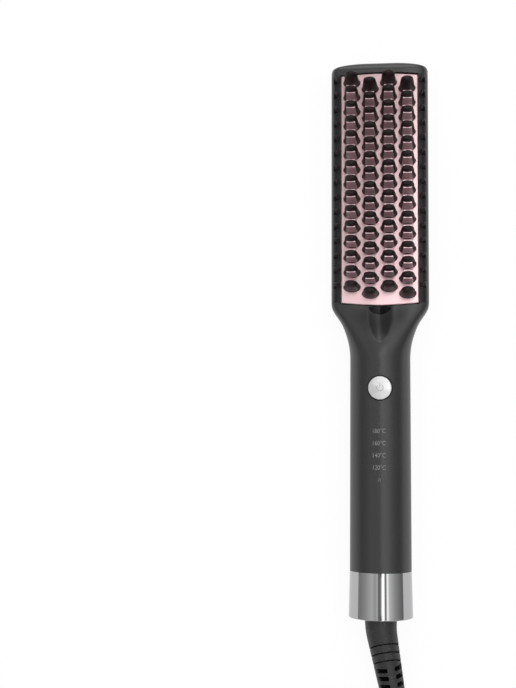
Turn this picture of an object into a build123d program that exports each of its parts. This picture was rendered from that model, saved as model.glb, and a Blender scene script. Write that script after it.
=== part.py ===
from build123d import *
from math import cos, pi, radians, sin, tan
import os

os.makedirs("parts", exist_ok=True)

# Hot comb lying on its back, in millimetres. +Z points up out of the bristle side, +Y towards the
# head's tip, +X to the right. The origin is under the middle of the length, on the surface.

# ---- overall form
overall_length = 280.0
head_length = 123.7  # from the seam at the neck to the tip
cap_length = 6.8
neck_length = 28.3
ring_length = 23.0  # chrome ring at the handle's end
head_width = 49.2
handle_front_radius = 15.1  # beside the neck
handle_rear_radius = 15.35  # at the chrome ring
ring_front_radius = 15.4
ring_rear_radius = 15.95
wall = 2.0
seam_gap = 0.15  # between neighbouring covers

# ---- heating plate and bristles
plate_height = 21.6  # top face of the plate above the surface that the comb lies on
plate_width = 38.8
plate_thickness = 3.6
plate_end_bow = 1.1  # how far each end bulges
plate_gap = 0.3
flange_width = 1.3  # hidden step that the covers hold down
flange_thickness = 1.6
rim_rise = 2.0  # covers stand this much over the plate
row_count = 15
row_pitch = 7.5
row_stagger = 3.3  # second and fourth column sit this much lower
column_pitch = 9.3
first_row_inset = 4.8  # from the plate's tip end to the first row
bristle_height = 19.0
sleeve_width = 7.0
sleeve_depth = 4.3
sleeve_taper = 1.2  # degrees
sleeve_flange_width = 8.8
sleeve_flange_depth = 5.3
sleeve_flange_height = 0.9
sleeve_tip_radius = 1.55
tooth_width = 5.5
tooth_depth = 2.8
tooth_height = 16.6
tooth_taper = 1.0  # degrees
tooth_fit = 0.05
window_width = 4.7
window_foot = 1.9
window_height = 13.6

# ---- guard teeth on the comb rails
guard_height = 6.4  # over the plate
guard_foot_length = 3.9
guard_tip_length = 1.3
guard_foot_inner = 20.1  # from the middle of the head
guard_foot_outer = 23.3
guard_tip_inner = 21.9
guard_tip_outer = 23.0
guard_offset = 0.9  # ahead of the bristle rows
tongue_depth = 2.4
tongue_thickness = 1.4

# ---- neck scoop and outlet
scoop_length = 18.5
scoop_half_width = 6.1
scoop_depth = 2.3
outlet_half_width = 5.8
outlet_height = 3.1
outlet_bow = 2.3  # of the rounder, handle-side edge
outlet_edge_land = 1.8  # between the outlet and the plate

# ---- button, lights and board
button_from_plate = 42.0
button_radius = 6.05
button_gap = 0.3
button_travel = 0.6
button_rise = 0.35  # crown over the handle's top line
button_flange = 1.5
button_depth = 5.4
guide_wall = 1.6
light_count = 5
light_pitch = 6.0
first_light_from_button = 21.2
board_length = 84.0
board_width = 21.0
board_thickness = 1.6
board_height = 16.6  # underside over the surface
board_ahead_of_button = 13.0

# ---- swivel and cord
collar_radius = 8.3
swivel_clearance = 0.1
collar_bore = 5.0
bush_flange = 1.4
cord_diameter = 6.8
guard_root_radius = 8.05
guard_end_radius = 5.6
guard_groove = 0.9
guard_groove_depth = 1.7
guard_spine = 4.6
hank_straight = 77.0
hank_fold_radius = 20.4
hank_columns = 2
hank_layers = 3
pin_radius = 2.0
pin_length = 19.0
pin_spacing = 18.6

# ---- hidden structure
ring_wall = 1.0
spigot_wall = 1.9
spigot_root = 3.0
rib_count = 4
rib_end_margin = 12.0
rib_thickness = 1.6
pillar_width = 3.0
shield_z = 9.0
bridge_length = 7.2
screw_shank_radius = 1.45
screw_head_radius = 2.7
screw_seat_z = 6.5
screw_boss_radius = 3.7
screw_grip = 6.0
rear_screw_inset = 9.0
neck_screw_inset = 12.0
neck_screw_side = 9.0
board_post_radius = 2.8
board_screw_radius = 1.2
board_screw_grip = 6.0
board_screw_side = 7.2
board_screw_inset = 6.0
scoop_stations = 6
guard_tip_radius = 0.45
cap_rounding = 4.6
cap_steps = 5
cap_crown = 3.0
cap_recess = 3.4
cap_collar = 2.6

# ---- heater, outlet and fasteners
plate_edge_radius = 0.4
sleeve_corner = 2.1
film_thickness = 0.3
electrode_thickness = 0.4
stone_thickness = 1.6
clamp_thickness = 1.5
heater_margin = 9.0
clamp_screw_side = 13.0
clamp_screw_inset = 6.0
clamp_boss_radius = 2.4
small_screw_radius = 1.0
small_screw_grip = 2.6
outlet_insert_thickness = 1.4
needle_radius = 0.45
needle_length = 2.0
emitter_width = 8.0
emitter_length = 12.0
emitter_height = 5.0

film_width = 19.0
electrode_width = 17.0
electrode_tab_width = 4.0
electrode_tab_length = 5.0
stone_count = 5
stone_width = 15.0
stone_gap = 1.5
clamp_width = 32.0
small_head_radius = 1.9
small_head_height = 1.2
shield_thickness = 0.8
shield_width = 35.0
thermistor_radius = 1.3
thermistor_length = 5.0
fuse_radius = 1.75
fuse_length = 11.0
screw_head_height = 1.8
lead_radius = 0.8
sensor_lead_radius = 0.5

# ---- handle's tail
bush_length = 9.0
bush_recess = 0.3
collar_flange = 1.4
collar_flange_radius = 10.6
collar_bore_depth = 7.5
slip_ring_radii = (3.8, 7.6)
slip_ring_width = 1.8
slip_ring_thickness = 0.6
contact_block_thickness = 5.0
contact_block_gap = 2.4
brush_radius = 0.75

# ---- control parts
button_flange_thickness = 0.9
button_stem_radius = 1.7
button_edge_radius = 0.4
switch_width = 6.0
switch_height = 3.5
plunger_rise = 0.9
plunger_radius = 1.75
plunger_depth = 0.8
light_length = 1.6
light_width = 3.2
light_height = 1.2
guide_width = 7.0
guide_bar_drop = 4.6
guide_leg_radius = 1.1
chip_size = 7.0
chip_height = 1.4
chip_behind_button = 11.5
triac_width = 10.0
triac_length = 10.0
triac_height = 4.4
triac_inset = 18.5
capacitor_width = 9.0
capacitor_length = 8.0
capacitor_height = 6.6
capacitor_inset = 7.0

# ---- plug and hank
hank_edge_radius = 2.4
hank_from_handle = 108.0  # from the ring's end to the middle of the near fold
hank_side = -6.0
tie_width = 12.0
tie_thickness = 1.2
plug_width = 35.3
plug_height = 13.7
plug_length = 36.0
plug_from_handle = 66.0  # from the ring's end to the plug's face
plug_relief_length = 16.0
plug_relief_radius = 5.2
pin_edge_radius = 0.8
pin_root = 5.0
pin_root_radius = 1.7  # inside the plug
guard_steps = 8
guard_end_fillet = 1.0
guard_groove_count = 9
full_groove_count = 3
first_groove = 13.3  # along the guard
groove_pitch = 4.05

# ---- stations along the length
tip_y = overall_length / 2
rear_y = -overall_length / 2
head_seam_y = tip_y - head_length
cap_seam_y = tip_y - cap_length
neck_start_y = head_seam_y - neck_length
ring_seam_y = rear_y + ring_length
axis_z = ring_rear_radius
rim_z = plate_height + rim_rise
long_axis = Axis((0, 0, axis_z), (0, 1, 0))
plate_low_y = head_seam_y - 1.0  # middle of the handle-side end
plate_tip_y = cap_seam_y + 1.0
plate_under_z = plate_height - plate_thickness
flange_top_z = plate_under_z + flange_thickness
half_head = head_width / 2
half_plate = plate_width / 2
girth_z = 12.0  # widest height of the head
button_y = plate_low_y - button_from_plate
handle_top_z = axis_z + handle_front_radius
guide_end_z = handle_top_z - button_depth
outlet_floor_z = plate_under_z + 1.0
outlet_middle_y = plate_low_y - outlet_edge_land - outlet_height / 2


# ---- outer form: one closed outline per station, round at the handle and squarer at the head
outline_points = 32
flare_stations = ((0.2, 0.03), (0.38, 0.13), (0.55, 0.31), (0.7, 0.54), (0.84, 0.83), (0.93, 0.965), (1, 1))
head_top_power = 5.5
head_back_power = 3.0
head_back_dip = 0.3  # the back is cut flat this much above its lowest line


def outline(half_width, bottom, top, girth, top_power, back_power):
    points = []
    for step in range(outline_points):
        angle = 2 * pi * step / outline_points
        height, power = (top - girth, top_power) if sin(angle) >= 0 else (girth - bottom, back_power)
        reach = (abs(cos(angle) / half_width) ** power + abs(sin(angle) / height) ** power) ** (-1 / power)
        points.append((reach * cos(angle), girth + reach * sin(angle)))
    return points


def neck_outline(share, flare, inset):
    blend = share * share * (3 - 2 * share)
    half_width = handle_front_radius + (half_head - handle_front_radius) * flare
    top = handle_top_z + (rim_z - handle_top_z) * blend
    bottom = (axis_z - handle_front_radius) * (1 - blend) - head_back_dip * blend
    girth = axis_z + (girth_z - axis_z) * blend
    top_power = 2 + (head_top_power - 2) * blend
    back_power = 2 + (head_back_power - 2) * blend
    return outline(half_width - inset, bottom + inset, top - inset, girth, top_power, back_power)


def neck_top(y):
    share = min(1, max(0, (y - neck_start_y) / neck_length))
    blend = share * share * (3 - 2 * share)
    return handle_top_z + (rim_z - handle_top_z) * blend


def casing_form(inset, start_y, end_y):
    with BuildPart() as form:
        # handle
        with BuildSketch(Plane.YZ):
            with BuildLine():
                Polyline(
                    (start_y, axis_z),
                    (start_y, axis_z + handle_rear_radius - inset),
                    (neck_start_y, handle_top_z - inset),
                    (neck_start_y, axis_z),
                    close=True,
                )
            make_face()
        revolve(axis=long_axis)
        # neck
        with BuildSketch(Plane.XZ.offset(-neck_start_y)):
            with Locations((0, axis_z)):
                Circle(handle_front_radius - inset)
        for share, flare in flare_stations:
            with BuildSketch(Plane.XZ.offset(-(neck_start_y + share * neck_length))):
                with BuildLine():
                    Spline(*neck_outline(share, flare, inset), periodic=True)
                make_face()
        loft()
        # head, with a flat back
        with BuildSketch(Plane.XZ.offset(-head_seam_y)):
            with BuildLine():
                Spline(*neck_outline(1, 1, inset), periodic=True)
            make_face()
        extrude(amount=-(end_y - head_seam_y))
        Box(
            2 * head_width,
            2 * overall_length,
            head_width,
            align=(Align.CENTER, Align.CENTER, Align.MAX),
            mode=Mode.SUBTRACT,
        )
    return form.part


BASE = (Align.CENTER, Align.CENTER, Align.MIN)
TOP = (Align.CENTER, Align.CENTER, Align.MAX)
AHEAD = (Align.CENTER, Align.MIN, Align.CENTER)
BEHIND = (Align.CENTER, Align.MAX, Align.CENTER)
LEFT = (Align.MAX, Align.CENTER, Align.CENTER)
ABOVE = (Align.CENTER, Align.MIN)
BELOW = (Align.CENTER, Align.MAX)
outer_form = casing_form(0, ring_seam_y, cap_seam_y)
inner_form = casing_form(wall, ring_seam_y, cap_seam_y)


# ---- shapes that several covers are cut with
def plate_outline(grow):
    # straight at the sides and bowed at both ends
    side = half_plate + grow
    low, tip = plate_low_y - grow, plate_tip_y + grow
    with BuildSketch(Plane.XY) as sketch:
        with BuildLine():
            Line((-side, low + plate_end_bow), (-side, tip - plate_end_bow))
            ThreePointArc((-side, tip - plate_end_bow), (0, tip), (side, tip - plate_end_bow))
            Line((side, tip - plate_end_bow), (side, low + plate_end_bow))
            ThreePointArc((side, low + plate_end_bow), (0, low), (-side, low + plate_end_bow))
        make_face()
    return sketch.sketch


with BuildPart() as plate_space:
    with BuildSketch(Plane.XY.offset(flange_top_z)):
        add(plate_outline(plate_gap))
    extrude(amount=head_width)
    with BuildSketch(Plane.XY.offset(plate_under_z - plate_gap)):
        add(plate_outline(flange_width + plate_gap))
    extrude(amount=flange_thickness + plate_gap)

# room between the rails, under the plate's flange
cavity_half_width = half_plate + flange_width + plate_gap
pillar_x = cavity_half_width - pillar_width / 2
with BuildPart() as upper_cavity:
    with BuildSketch(Plane.XZ.offset(-(head_seam_y - wall))):
        with Locations((0, axis_z)):
            Rectangle(2 * cavity_half_width, plate_under_z - axis_z, align=(Align.CENTER, Align.MIN))
    extrude(amount=-(cap_seam_y - head_seam_y + 2 * wall))

scoop_tip_y = plate_low_y - scoop_length


def scoop_form(grow):
    # a groove that starts at a point and reaches its full width on the way to the plate
    with BuildPart() as form:
        for step in range(scoop_stations):
            share = step / (scoop_stations - 1)
            y = scoop_tip_y + share * (scoop_length + 2)
            swell = 1 - (1 - min(1, 1.7 * share + 0.05)) ** 2
            with BuildSketch(Plane.XZ.offset(-y)):
                with Locations((0, neck_top(y))):
                    Ellipse(scoop_half_width * swell + grow, scoop_depth * swell ** 1.3 + grow)
        loft()
    return form.part


def outlet_lens(shrink):
    # two arcs that meet in points, the rounder one on the handle side
    half = outlet_half_width - shrink
    top_y = plate_low_y - outlet_edge_land
    end_y = top_y - (outlet_height - outlet_bow)
    with BuildSketch(Plane.XY) as sketch:
        with BuildLine():
            ThreePointArc((-half, end_y), (0, top_y - shrink), (half, end_y))
            ThreePointArc((half, end_y), (0, end_y - outlet_bow + shrink), (-half, end_y))
        make_face()
    return sketch.sketch


# ---- rear housing
spigot_radius = ring_front_radius - ring_wall - tooth_fit
spigot_start_y = rear_y + bush_flange + tooth_fit
first_rib_y = head_seam_y + rib_end_margin
rib_pitch = (cap_seam_y - head_seam_y - 2 * rib_end_margin) / (rib_count - 1)
board_low_y = button_y + board_ahead_of_button - board_length
board_screw_spots = (
    (board_screw_side, board_low_y + board_screw_inset),
    (-board_screw_side, board_low_y + board_length - board_screw_inset),
)
screw_spots = (
    (0, ring_seam_y + rear_screw_inset),
    (-neck_screw_side, neck_start_y + neck_screw_inset),
    (neck_screw_side, neck_start_y + neck_screw_inset),
)

with BuildPart() as rear_cavity:
    add(inner_form)
    # cross ribs carry the heat shield, and their pillars the plate's flange
    for rib in range(rib_count):
        with BuildSketch(Plane.XZ.offset(-(first_rib_y + rib * rib_pitch))):
            Rectangle(head_width, shield_z, align=(Align.CENTER, Align.MIN))
            with Locations((pillar_x, 0), (-pillar_x, 0)):
                Rectangle(pillar_width, plate_under_z, align=(Align.CENTER, Align.MIN))
        extrude(amount=-rib_thickness, mode=Mode.SUBTRACT)
    with Locations(*[(x, y, 0) for x, y in screw_spots]):
        Cylinder(screw_boss_radius, axis_z, align=BASE, mode=Mode.SUBTRACT)
    with Locations(*[(x, y, 0) for x, y in board_screw_spots]):
        Cylinder(board_post_radius, board_height, align=BASE, mode=Mode.SUBTRACT)

with BuildPart() as rear_housing:
    add(outer_form)
    add(rear_cavity.part, mode=Mode.SUBTRACT)
    # below the seam only, but for the pillars in the head
    with BuildSketch(Plane.XZ.offset(overall_length)):
        with Locations((0, axis_z)):
            Rectangle(2 * head_width, head_width, align=(Align.CENTER, Align.MIN))
    extrude(amount=-(overall_length + head_seam_y), mode=Mode.SUBTRACT)
    with BuildSketch(Plane.XZ.offset(-head_seam_y)):
        with Locations((0, axis_z)):
            Rectangle(2 * head_width, head_width, align=(Align.CENTER, Align.MIN))
        with Locations((pillar_x, 0), (-pillar_x, 0)):
            Rectangle(pillar_width, plate_under_z, align=(Align.CENTER, Align.MIN), mode=Mode.SUBTRACT)
    extrude(amount=-head_length, mode=Mode.SUBTRACT)
    # spigot under the chrome ring
    with BuildSketch(Plane.XZ.offset(-spigot_start_y)):
        with Locations((0, axis_z)):
            Circle(spigot_radius)
            Circle(spigot_radius - spigot_wall, mode=Mode.SUBTRACT)
            Rectangle(4 * spigot_radius, 2 * spigot_radius, align=ABOVE, mode=Mode.SUBTRACT)
    extrude(amount=-(ring_seam_y - spigot_start_y + spigot_root))
    with Locations(*[(x, y, 0) for x, y in screw_spots]):
        Cylinder(screw_shank_radius + seam_gap, head_width, mode=Mode.SUBTRACT)
        Cylinder(screw_head_radius + seam_gap, 2 * screw_seat_z, mode=Mode.SUBTRACT)
    with Locations(*[(x, y, board_height) for x, y in board_screw_spots]):
        Cylinder(board_screw_radius, 2 * board_screw_grip, mode=Mode.SUBTRACT)
rear_housing.part.label = "rear_housing"
export_step(rear_housing.part, "parts/rear_housing.step")

# ---- front housing
with BuildPart() as front_cavity:
    add(inner_form)
    # land round the plate's end, floor under the scoop, bosses and button guide
    with Locations((0, head_seam_y, flange_top_z)):
        Box(head_width, bridge_length, rim_z, align=(Align.CENTER, Align.MAX, Align.MIN), mode=Mode.SUBTRACT)
    add(scoop_form(wall), mode=Mode.SUBTRACT)
    with Locations(*[(x, y, axis_z + seam_gap) for x, y in screw_spots]):
        Cylinder(screw_boss_radius, handle_front_radius, align=BASE, mode=Mode.SUBTRACT)
    with Locations((0, button_y, guide_end_z)):
        Cylinder(button_radius + button_gap + guide_wall, handle_front_radius, align=BASE, mode=Mode.SUBTRACT)

with BuildPart() as front_housing:
    add(outer_form)
    add(front_cavity.part, mode=Mode.SUBTRACT)
    # above the seam and behind the head only
    with BuildSketch(Plane.YZ.offset(-head_width)):
        with Locations((0, axis_z)):
            Rectangle(2 * overall_length, 2 * head_width, align=(Align.CENTER, Align.MAX))
        with Locations((head_seam_y, 0)):
            Rectangle(overall_length, 2 * head_width, align=(Align.MIN, Align.CENTER))
    extrude(amount=2 * head_width, mode=Mode.SUBTRACT)
    with BuildSketch(Plane.XZ.offset(-spigot_start_y)):
        with Locations((0, axis_z)):
            Circle(spigot_radius)
            Circle(spigot_radius - spigot_wall, mode=Mode.SUBTRACT)
            Rectangle(4 * spigot_radius, 2 * spigot_radius, align=BELOW, mode=Mode.SUBTRACT)
    extrude(amount=-(ring_seam_y - spigot_start_y + spigot_root))
    add(plate_space.part, mode=Mode.SUBTRACT)
    add(scoop_form(0), mode=Mode.SUBTRACT)
    with BuildSketch(Plane.XY.offset(plate_under_z)):
        add(outlet_lens(0))
    extrude(amount=rim_z, mode=Mode.SUBTRACT)
    with Locations((0, button_y, handle_top_z)):
        Cylinder(button_radius + button_gap, 2 * handle_front_radius, mode=Mode.SUBTRACT)
    with Locations(*[(x, y, axis_z) for x, y in screw_spots]):
        Cylinder(screw_shank_radius, 2 * screw_grip, mode=Mode.SUBTRACT)
front_housing.part.label = "front_housing"
export_step(front_housing.part, "parts/front_housing.step")

# ---- comb rails with their guard teeth
first_row_y = plate_tip_y - first_row_inset
with BuildPart() as guard_tooth:
    with BuildSketch(Plane.XY.offset(plate_height - rim_rise)):
        with Locations(((guard_foot_inner + guard_foot_outer) / 2, 0)):
            Rectangle(guard_foot_outer - guard_foot_inner, guard_foot_length)
    with BuildSketch(Plane.XY.offset(plate_height + guard_height)):
        with Locations(((guard_tip_inner + guard_tip_outer) / 2, 0)):
            Rectangle(guard_tip_outer - guard_tip_inner, guard_tip_length)
    loft()
    fillet(guard_tooth.faces().sort_by(Axis.Z)[-1].edges(), guard_tip_radius)

with BuildPart() as right_comb_rail:
    add(outer_form)
    with Locations((0, 0, axis_z)):
        Box(2 * head_width, 2 * overall_length, head_width, align=TOP, mode=Mode.SUBTRACT)
    with Locations((0, head_seam_y + seam_gap, 0)):
        Box(2 * head_width, 2 * overall_length, 2 * head_width, align=BEHIND, mode=Mode.SUBTRACT)
    with Locations((0, cap_seam_y - seam_gap, 0)):
        Box(2 * head_width, head_length, 2 * head_width, align=AHEAD, mode=Mode.SUBTRACT)
    Box(2 * head_width, 2 * overall_length, 4 * head_width, align=LEFT, mode=Mode.SUBTRACT)
    add(upper_cavity.part, mode=Mode.SUBTRACT)
    with Locations(*[(0, first_row_y + guard_offset - row * row_pitch, 0) for row in range(row_count)]):
        add(guard_tooth.part)
    add(plate_space.part, mode=Mode.SUBTRACT)
    # tongue that lines the rail up inside the rear housing
    with Locations((half_head - wall - seam_gap, (head_seam_y + cap_seam_y) / 2, axis_z)):
        Box(tongue_thickness, cap_seam_y - head_seam_y - 4 * wall, 2 * tongue_depth, align=LEFT)
right_comb_rail.part.label = "right_comb_rail"
export_step(right_comb_rail.part, "parts/right_comb_rail.step")

with BuildPart() as left_comb_rail:
    add(right_comb_rail.part)
    mirror(about=Plane.YZ, mode=Mode.REPLACE)
left_comb_rail.part.label = "left_comb_rail"
export_step(left_comb_rail.part, "parts/left_comb_rail.step")

# ---- end cap: the head's outline drawn in along a quarter round, then crowned
with BuildPart() as cap_form:
    with BuildSketch(Plane.XZ.offset(-cap_seam_y)):
        with BuildLine():
            Spline(*neck_outline(1, 1, 0), periodic=True)
        make_face()
    extrude(amount=-(cap_length - cap_rounding))
    for step in range(cap_steps + 1):
        angle = pi / 2 * step / cap_steps
        with BuildSketch(Plane.XZ.offset(-(tip_y - cap_rounding * (1 - sin(angle))))):
            with BuildLine():
                Spline(*neck_outline(1, 1, cap_rounding * (1 - cos(angle))), periodic=True)
            make_face()
    loft()
    # crown of the tip, seen from above
    with BuildSketch(Plane.XY):
        with BuildLine():
            shoulder_y = tip_y - cap_crown
            Polyline((half_head, shoulder_y), (half_head, 0), (-half_head, 0), (-half_head, shoulder_y))
            ThreePointArc((-half_head, shoulder_y), (0, tip_y), (half_head, shoulder_y))
        make_face()
    extrude(amount=head_width, mode=Mode.INTERSECT)

with BuildPart() as end_cap:
    add(cap_form.part)
    with Locations((0, cap_seam_y, wall)):
        Box(
            2 * half_plate,
            cap_recess,
            plate_under_z - 2 * wall,
            align=(Align.CENTER, Align.MIN, Align.MIN),
            mode=Mode.SUBTRACT,
        )
    # collar that plugs into the rear housing, below the rails' tongues
    with BuildSketch(Plane.XZ.offset(-(cap_seam_y - cap_collar))):
        with BuildLine():
            Spline(*neck_outline(1, 1, wall + seam_gap), periodic=True)
        make_face()
        with BuildLine():
            Spline(*neck_outline(1, 1, 2 * wall), periodic=True)
        make_face(mode=Mode.SUBTRACT)
        with Locations((0, axis_z - tongue_depth - seam_gap)):
            Rectangle(2 * head_width, head_width, align=(Align.CENTER, Align.MIN), mode=Mode.SUBTRACT)
    extrude(amount=-(cap_collar + cap_rounding / 2))
    add(plate_space.part, mode=Mode.SUBTRACT)
end_cap.part.label = "end_cap"
export_step(end_cap.part, "parts/end_cap.step")

# ---- heating plate, one casting with its clamp bosses
heater_stack = 2 * film_thickness + 2 * electrode_thickness + stone_thickness
clamp_top_z = plate_under_z - heater_stack
clamp_under_z = clamp_top_z - clamp_thickness
heater_low_y = plate_low_y + heater_margin
heater_length = plate_tip_y - plate_low_y - 2 * heater_margin
heater_middle_y = (plate_tip_y + plate_low_y) / 2
clamp_screw_spots = [
    (side * clamp_screw_side, heater_middle_y + along * (heater_length / 2 - clamp_screw_inset), 0)
    for side in (-1, 1)
    for along in (-1, 0, 1)
]
column_count = 4


def row_spot(column, row):
    x = (column - (column_count - 1) / 2) * column_pitch
    return x, first_row_y - row * row_pitch - row_stagger * (column % 2), plate_height


row_spots = [[row_spot(column, row) for row in range(row_count)] for column in range(column_count)]

with BuildPart() as heating_plate:
    with BuildSketch(Plane.XY.offset(plate_under_z)):
        add(plate_outline(0))
    extrude(amount=plate_thickness)
    fillet(heating_plate.faces().sort_by(Axis.Z)[-1].edges(), plate_edge_radius)
    with BuildSketch(Plane.XY.offset(plate_under_z)):
        add(plate_outline(flange_width))
    extrude(amount=flange_thickness)
    with Locations(*[(x, y, plate_under_z) for x, y, z in clamp_screw_spots]):
        Cylinder(clamp_boss_radius, heater_stack, align=(Align.CENTER, Align.CENTER, Align.MAX))
    with Locations(*[(x, y, clamp_top_z) for x, y, z in clamp_screw_spots]):
        Cylinder(small_screw_radius, 2 * small_screw_grip, mode=Mode.SUBTRACT)
heating_plate.part.label = "heating_plate"
export_step(heating_plate.part, "parts/heating_plate.step")

# ---- heat teeth that stand on the plate inside their sleeves
with BuildPart() as tooth:
    with BuildSketch():
        RectangleRounded(tooth_width, tooth_depth, tooth_depth / 3)
    extrude(amount=tooth_height, taper=tooth_taper)

with BuildPart() as heat_teeth:
    with Locations(*[spot for column in row_spots for spot in column]):
        add(tooth.part)
heat_teeth.part.label = "heat_teeth"
export_step(heat_teeth.part, "parts/heat_teeth.step")

# ---- insulating sleeves over the teeth
with BuildPart() as plain_sleeve:
    with BuildSketch():
        Ellipse(sleeve_flange_width / 2, sleeve_flange_depth / 2)
    extrude(amount=sleeve_flange_height)
    fillet(plain_sleeve.faces().sort_by(Axis.Z)[-1].edges(), sleeve_flange_height / 2)
    with BuildSketch():
        RectangleRounded(sleeve_width, sleeve_depth, sleeve_corner)
    extrude(amount=bristle_height, taper=sleeve_taper)
    fillet(plain_sleeve.faces().sort_by(Axis.Z)[-1].edges(), sleeve_tip_radius)
    with BuildSketch():
        RectangleRounded(tooth_width + 2 * tooth_fit, tooth_depth + 2 * tooth_fit, tooth_depth / 3)
    extrude(amount=tooth_height + tooth_fit, taper=tooth_taper, mode=Mode.SUBTRACT)

with BuildPart() as window_sleeve:
    add(plain_sleeve.part)
    with Locations((0, 0, window_foot)):
        Box(window_width, 2 * sleeve_depth, window_height, align=BASE, mode=Mode.SUBTRACT)

for column in range(column_count):
    with BuildPart() as column_sleeves:
        with Locations(*row_spots[column][1:-1]):
            add(window_sleeve.part)
    column_sleeves.part.label = f"bristle_sleeves_{column + 1}"
    export_step(column_sleeves.part, f"parts/bristle_sleeves_{column + 1}.step")

with BuildPart() as end_row_sleeves:
    with Locations(*[column[0] for column in row_spots], *[column[-1] for column in row_spots]):
        add(plain_sleeve.part)
end_row_sleeves.part.label = "end_row_sleeves"
export_step(end_row_sleeves.part, "parts/end_row_sleeves.step")

# ---- outlet below the plate, with the ion emitter behind it
with BuildPart() as outlet_insert:
    with BuildSketch(Plane.XY.offset(outlet_floor_z)):
        add(outlet_lens(seam_gap))
    extrude(amount=outlet_insert_thickness)
    with Locations((0, outlet_middle_y, outlet_floor_z)):
        Cylinder(needle_radius + tooth_fit, 4 * outlet_insert_thickness, mode=Mode.SUBTRACT)
outlet_insert.part.label = "outlet_insert"
export_step(outlet_insert.part, "parts/outlet_insert.step")

with BuildPart() as ion_emitter:
    with Locations((0, outlet_middle_y + 2 * needle_radius, outlet_floor_z)):
        Box(emitter_width, emitter_length, emitter_height, align=(Align.CENTER, Align.MAX, Align.MAX))
    with Locations((0, outlet_middle_y, outlet_floor_z)):
        Cylinder(needle_radius, 2 * needle_length)
ion_emitter.part.label = "ion_emitter"
export_step(ion_emitter.part, "parts/ion_emitter.step")

# ---- heater under the plate: film, electrode, stones, electrode, film, clamp
def heater_layer(name, width, under_z, thickness, tab_side=0):
    with BuildPart() as layer:
        with Locations((0, heater_middle_y, under_z)):
            Box(width, heater_length, thickness, align=BASE)
        if tab_side:
            with Locations((tab_side * lead_spacing, heater_low_y - electrode_tab_length / 2, under_z)):
                Box(electrode_tab_width, electrode_tab_length, thickness, align=BASE)
    layer.part.label = name
    export_step(layer.part, f"parts/{name}.step")


lead_spacing = 2.6
upper_electrode_z = plate_under_z - film_thickness - electrode_thickness
stone_z = upper_electrode_z - stone_thickness
lower_electrode_z = stone_z - electrode_thickness
heater_layer("insulation_film_upper", film_width, plate_under_z - film_thickness, film_thickness)
heater_layer("electrode_upper", electrode_width, upper_electrode_z, electrode_thickness, tab_side=1)
heater_layer("electrode_lower", electrode_width, lower_electrode_z, electrode_thickness, tab_side=-1)
heater_layer("insulation_film_lower", film_width, clamp_top_z, film_thickness)

stone_pitch = heater_length / stone_count
with BuildPart() as ptc_stones:
    with Locations((0, heater_middle_y, stone_z)):
        with GridLocations(stone_width, stone_pitch, 1, stone_count):
            Box(stone_width, stone_pitch - stone_gap, stone_thickness, align=BASE)
ptc_stones.part.label = "ptc_stones"
export_step(ptc_stones.part, "parts/ptc_stones.step")

with BuildPart() as clamp_plate:
    with Locations((0, heater_middle_y, clamp_top_z)):
        Box(clamp_width, heater_length, clamp_thickness, align=TOP)
    with Locations(*[(x, y, clamp_top_z) for x, y, z in clamp_screw_spots]):
        Cylinder(small_screw_radius + seam_gap, 4 * clamp_thickness, mode=Mode.SUBTRACT)
clamp_plate.part.label = "clamp_plate"
export_step(clamp_plate.part, "parts/clamp_plate.step")

with BuildPart() as clamp_screws:
    with Locations(*[(x, y, clamp_under_z) for x, y, z in clamp_screw_spots]):
        Cylinder(small_head_radius, small_head_height, align=TOP)
        Cylinder(small_screw_radius - tooth_fit, clamp_thickness + small_screw_grip - tooth_fit, align=BASE)
clamp_screws.part.label = "clamp_screws"
export_step(clamp_screws.part, "parts/clamp_screws.step")

with BuildPart() as heat_shield:
    with Locations((0, (head_seam_y + cap_seam_y) / 2, shield_z)):
        Box(shield_width, cap_seam_y - head_seam_y - rib_end_margin, shield_thickness, align=BASE)
heat_shield.part.label = "heat_shield"
export_step(heat_shield.part, "parts/heat_shield.step")

thermistor_spot = (lead_spacing, heater_low_y + 2 * clamp_screw_inset, clamp_under_z - thermistor_radius)
with BuildPart() as thermistor:
    with Locations(Location(thermistor_spot, (90, 0, 0))):
        Cylinder(thermistor_radius, thermistor_length)
    fillet(thermistor.edges().filter_by(GeomType.CIRCLE), thermistor_radius / 2)
thermistor.part.label = "thermistor"
export_step(thermistor.part, "parts/thermistor.step")

thermal_fuse_spot = (-2 * lead_spacing, heater_low_y + 3 * clamp_screw_inset, clamp_under_z - fuse_radius)
with BuildPart() as thermal_fuse:
    with Locations(Location(thermal_fuse_spot, (90, 0, 0))):
        Cylinder(fuse_radius, fuse_length)
    chamfer(thermal_fuse.edges().filter_by(GeomType.CIRCLE), fuse_radius / 3)
thermal_fuse.part.label = "thermal_fuse"
export_step(thermal_fuse.part, "parts/thermal_fuse.step")

# ---- control board and what stands on it
board_top_z = board_height + board_thickness
board_tip_y = board_low_y + board_length
with BuildPart() as control_board:
    with Locations((0, (board_low_y + board_tip_y) / 2, board_height)):
        Box(board_width, board_length, board_thickness, align=BASE)
    fillet(control_board.edges().filter_by(Axis.Z), board_screw_radius)
    with Locations(*[(x, y, board_height) for x, y in board_screw_spots]):
        Cylinder(board_screw_radius + seam_gap, 4 * board_thickness, mode=Mode.SUBTRACT)
control_board.part.label = "control_board"
export_step(control_board.part, "parts/control_board.step")

with BuildPart() as board_screws:
    with Locations(*[(x, y, board_top_z) for x, y in board_screw_spots]):
        Cylinder(small_head_radius + seam_gap, small_head_height, align=BASE)
        Cylinder(board_screw_radius - tooth_fit, board_thickness + board_screw_grip - tooth_fit, align=TOP)
board_screws.part.label = "board_screws"
export_step(board_screws.part, "parts/board_screws.step")

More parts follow.
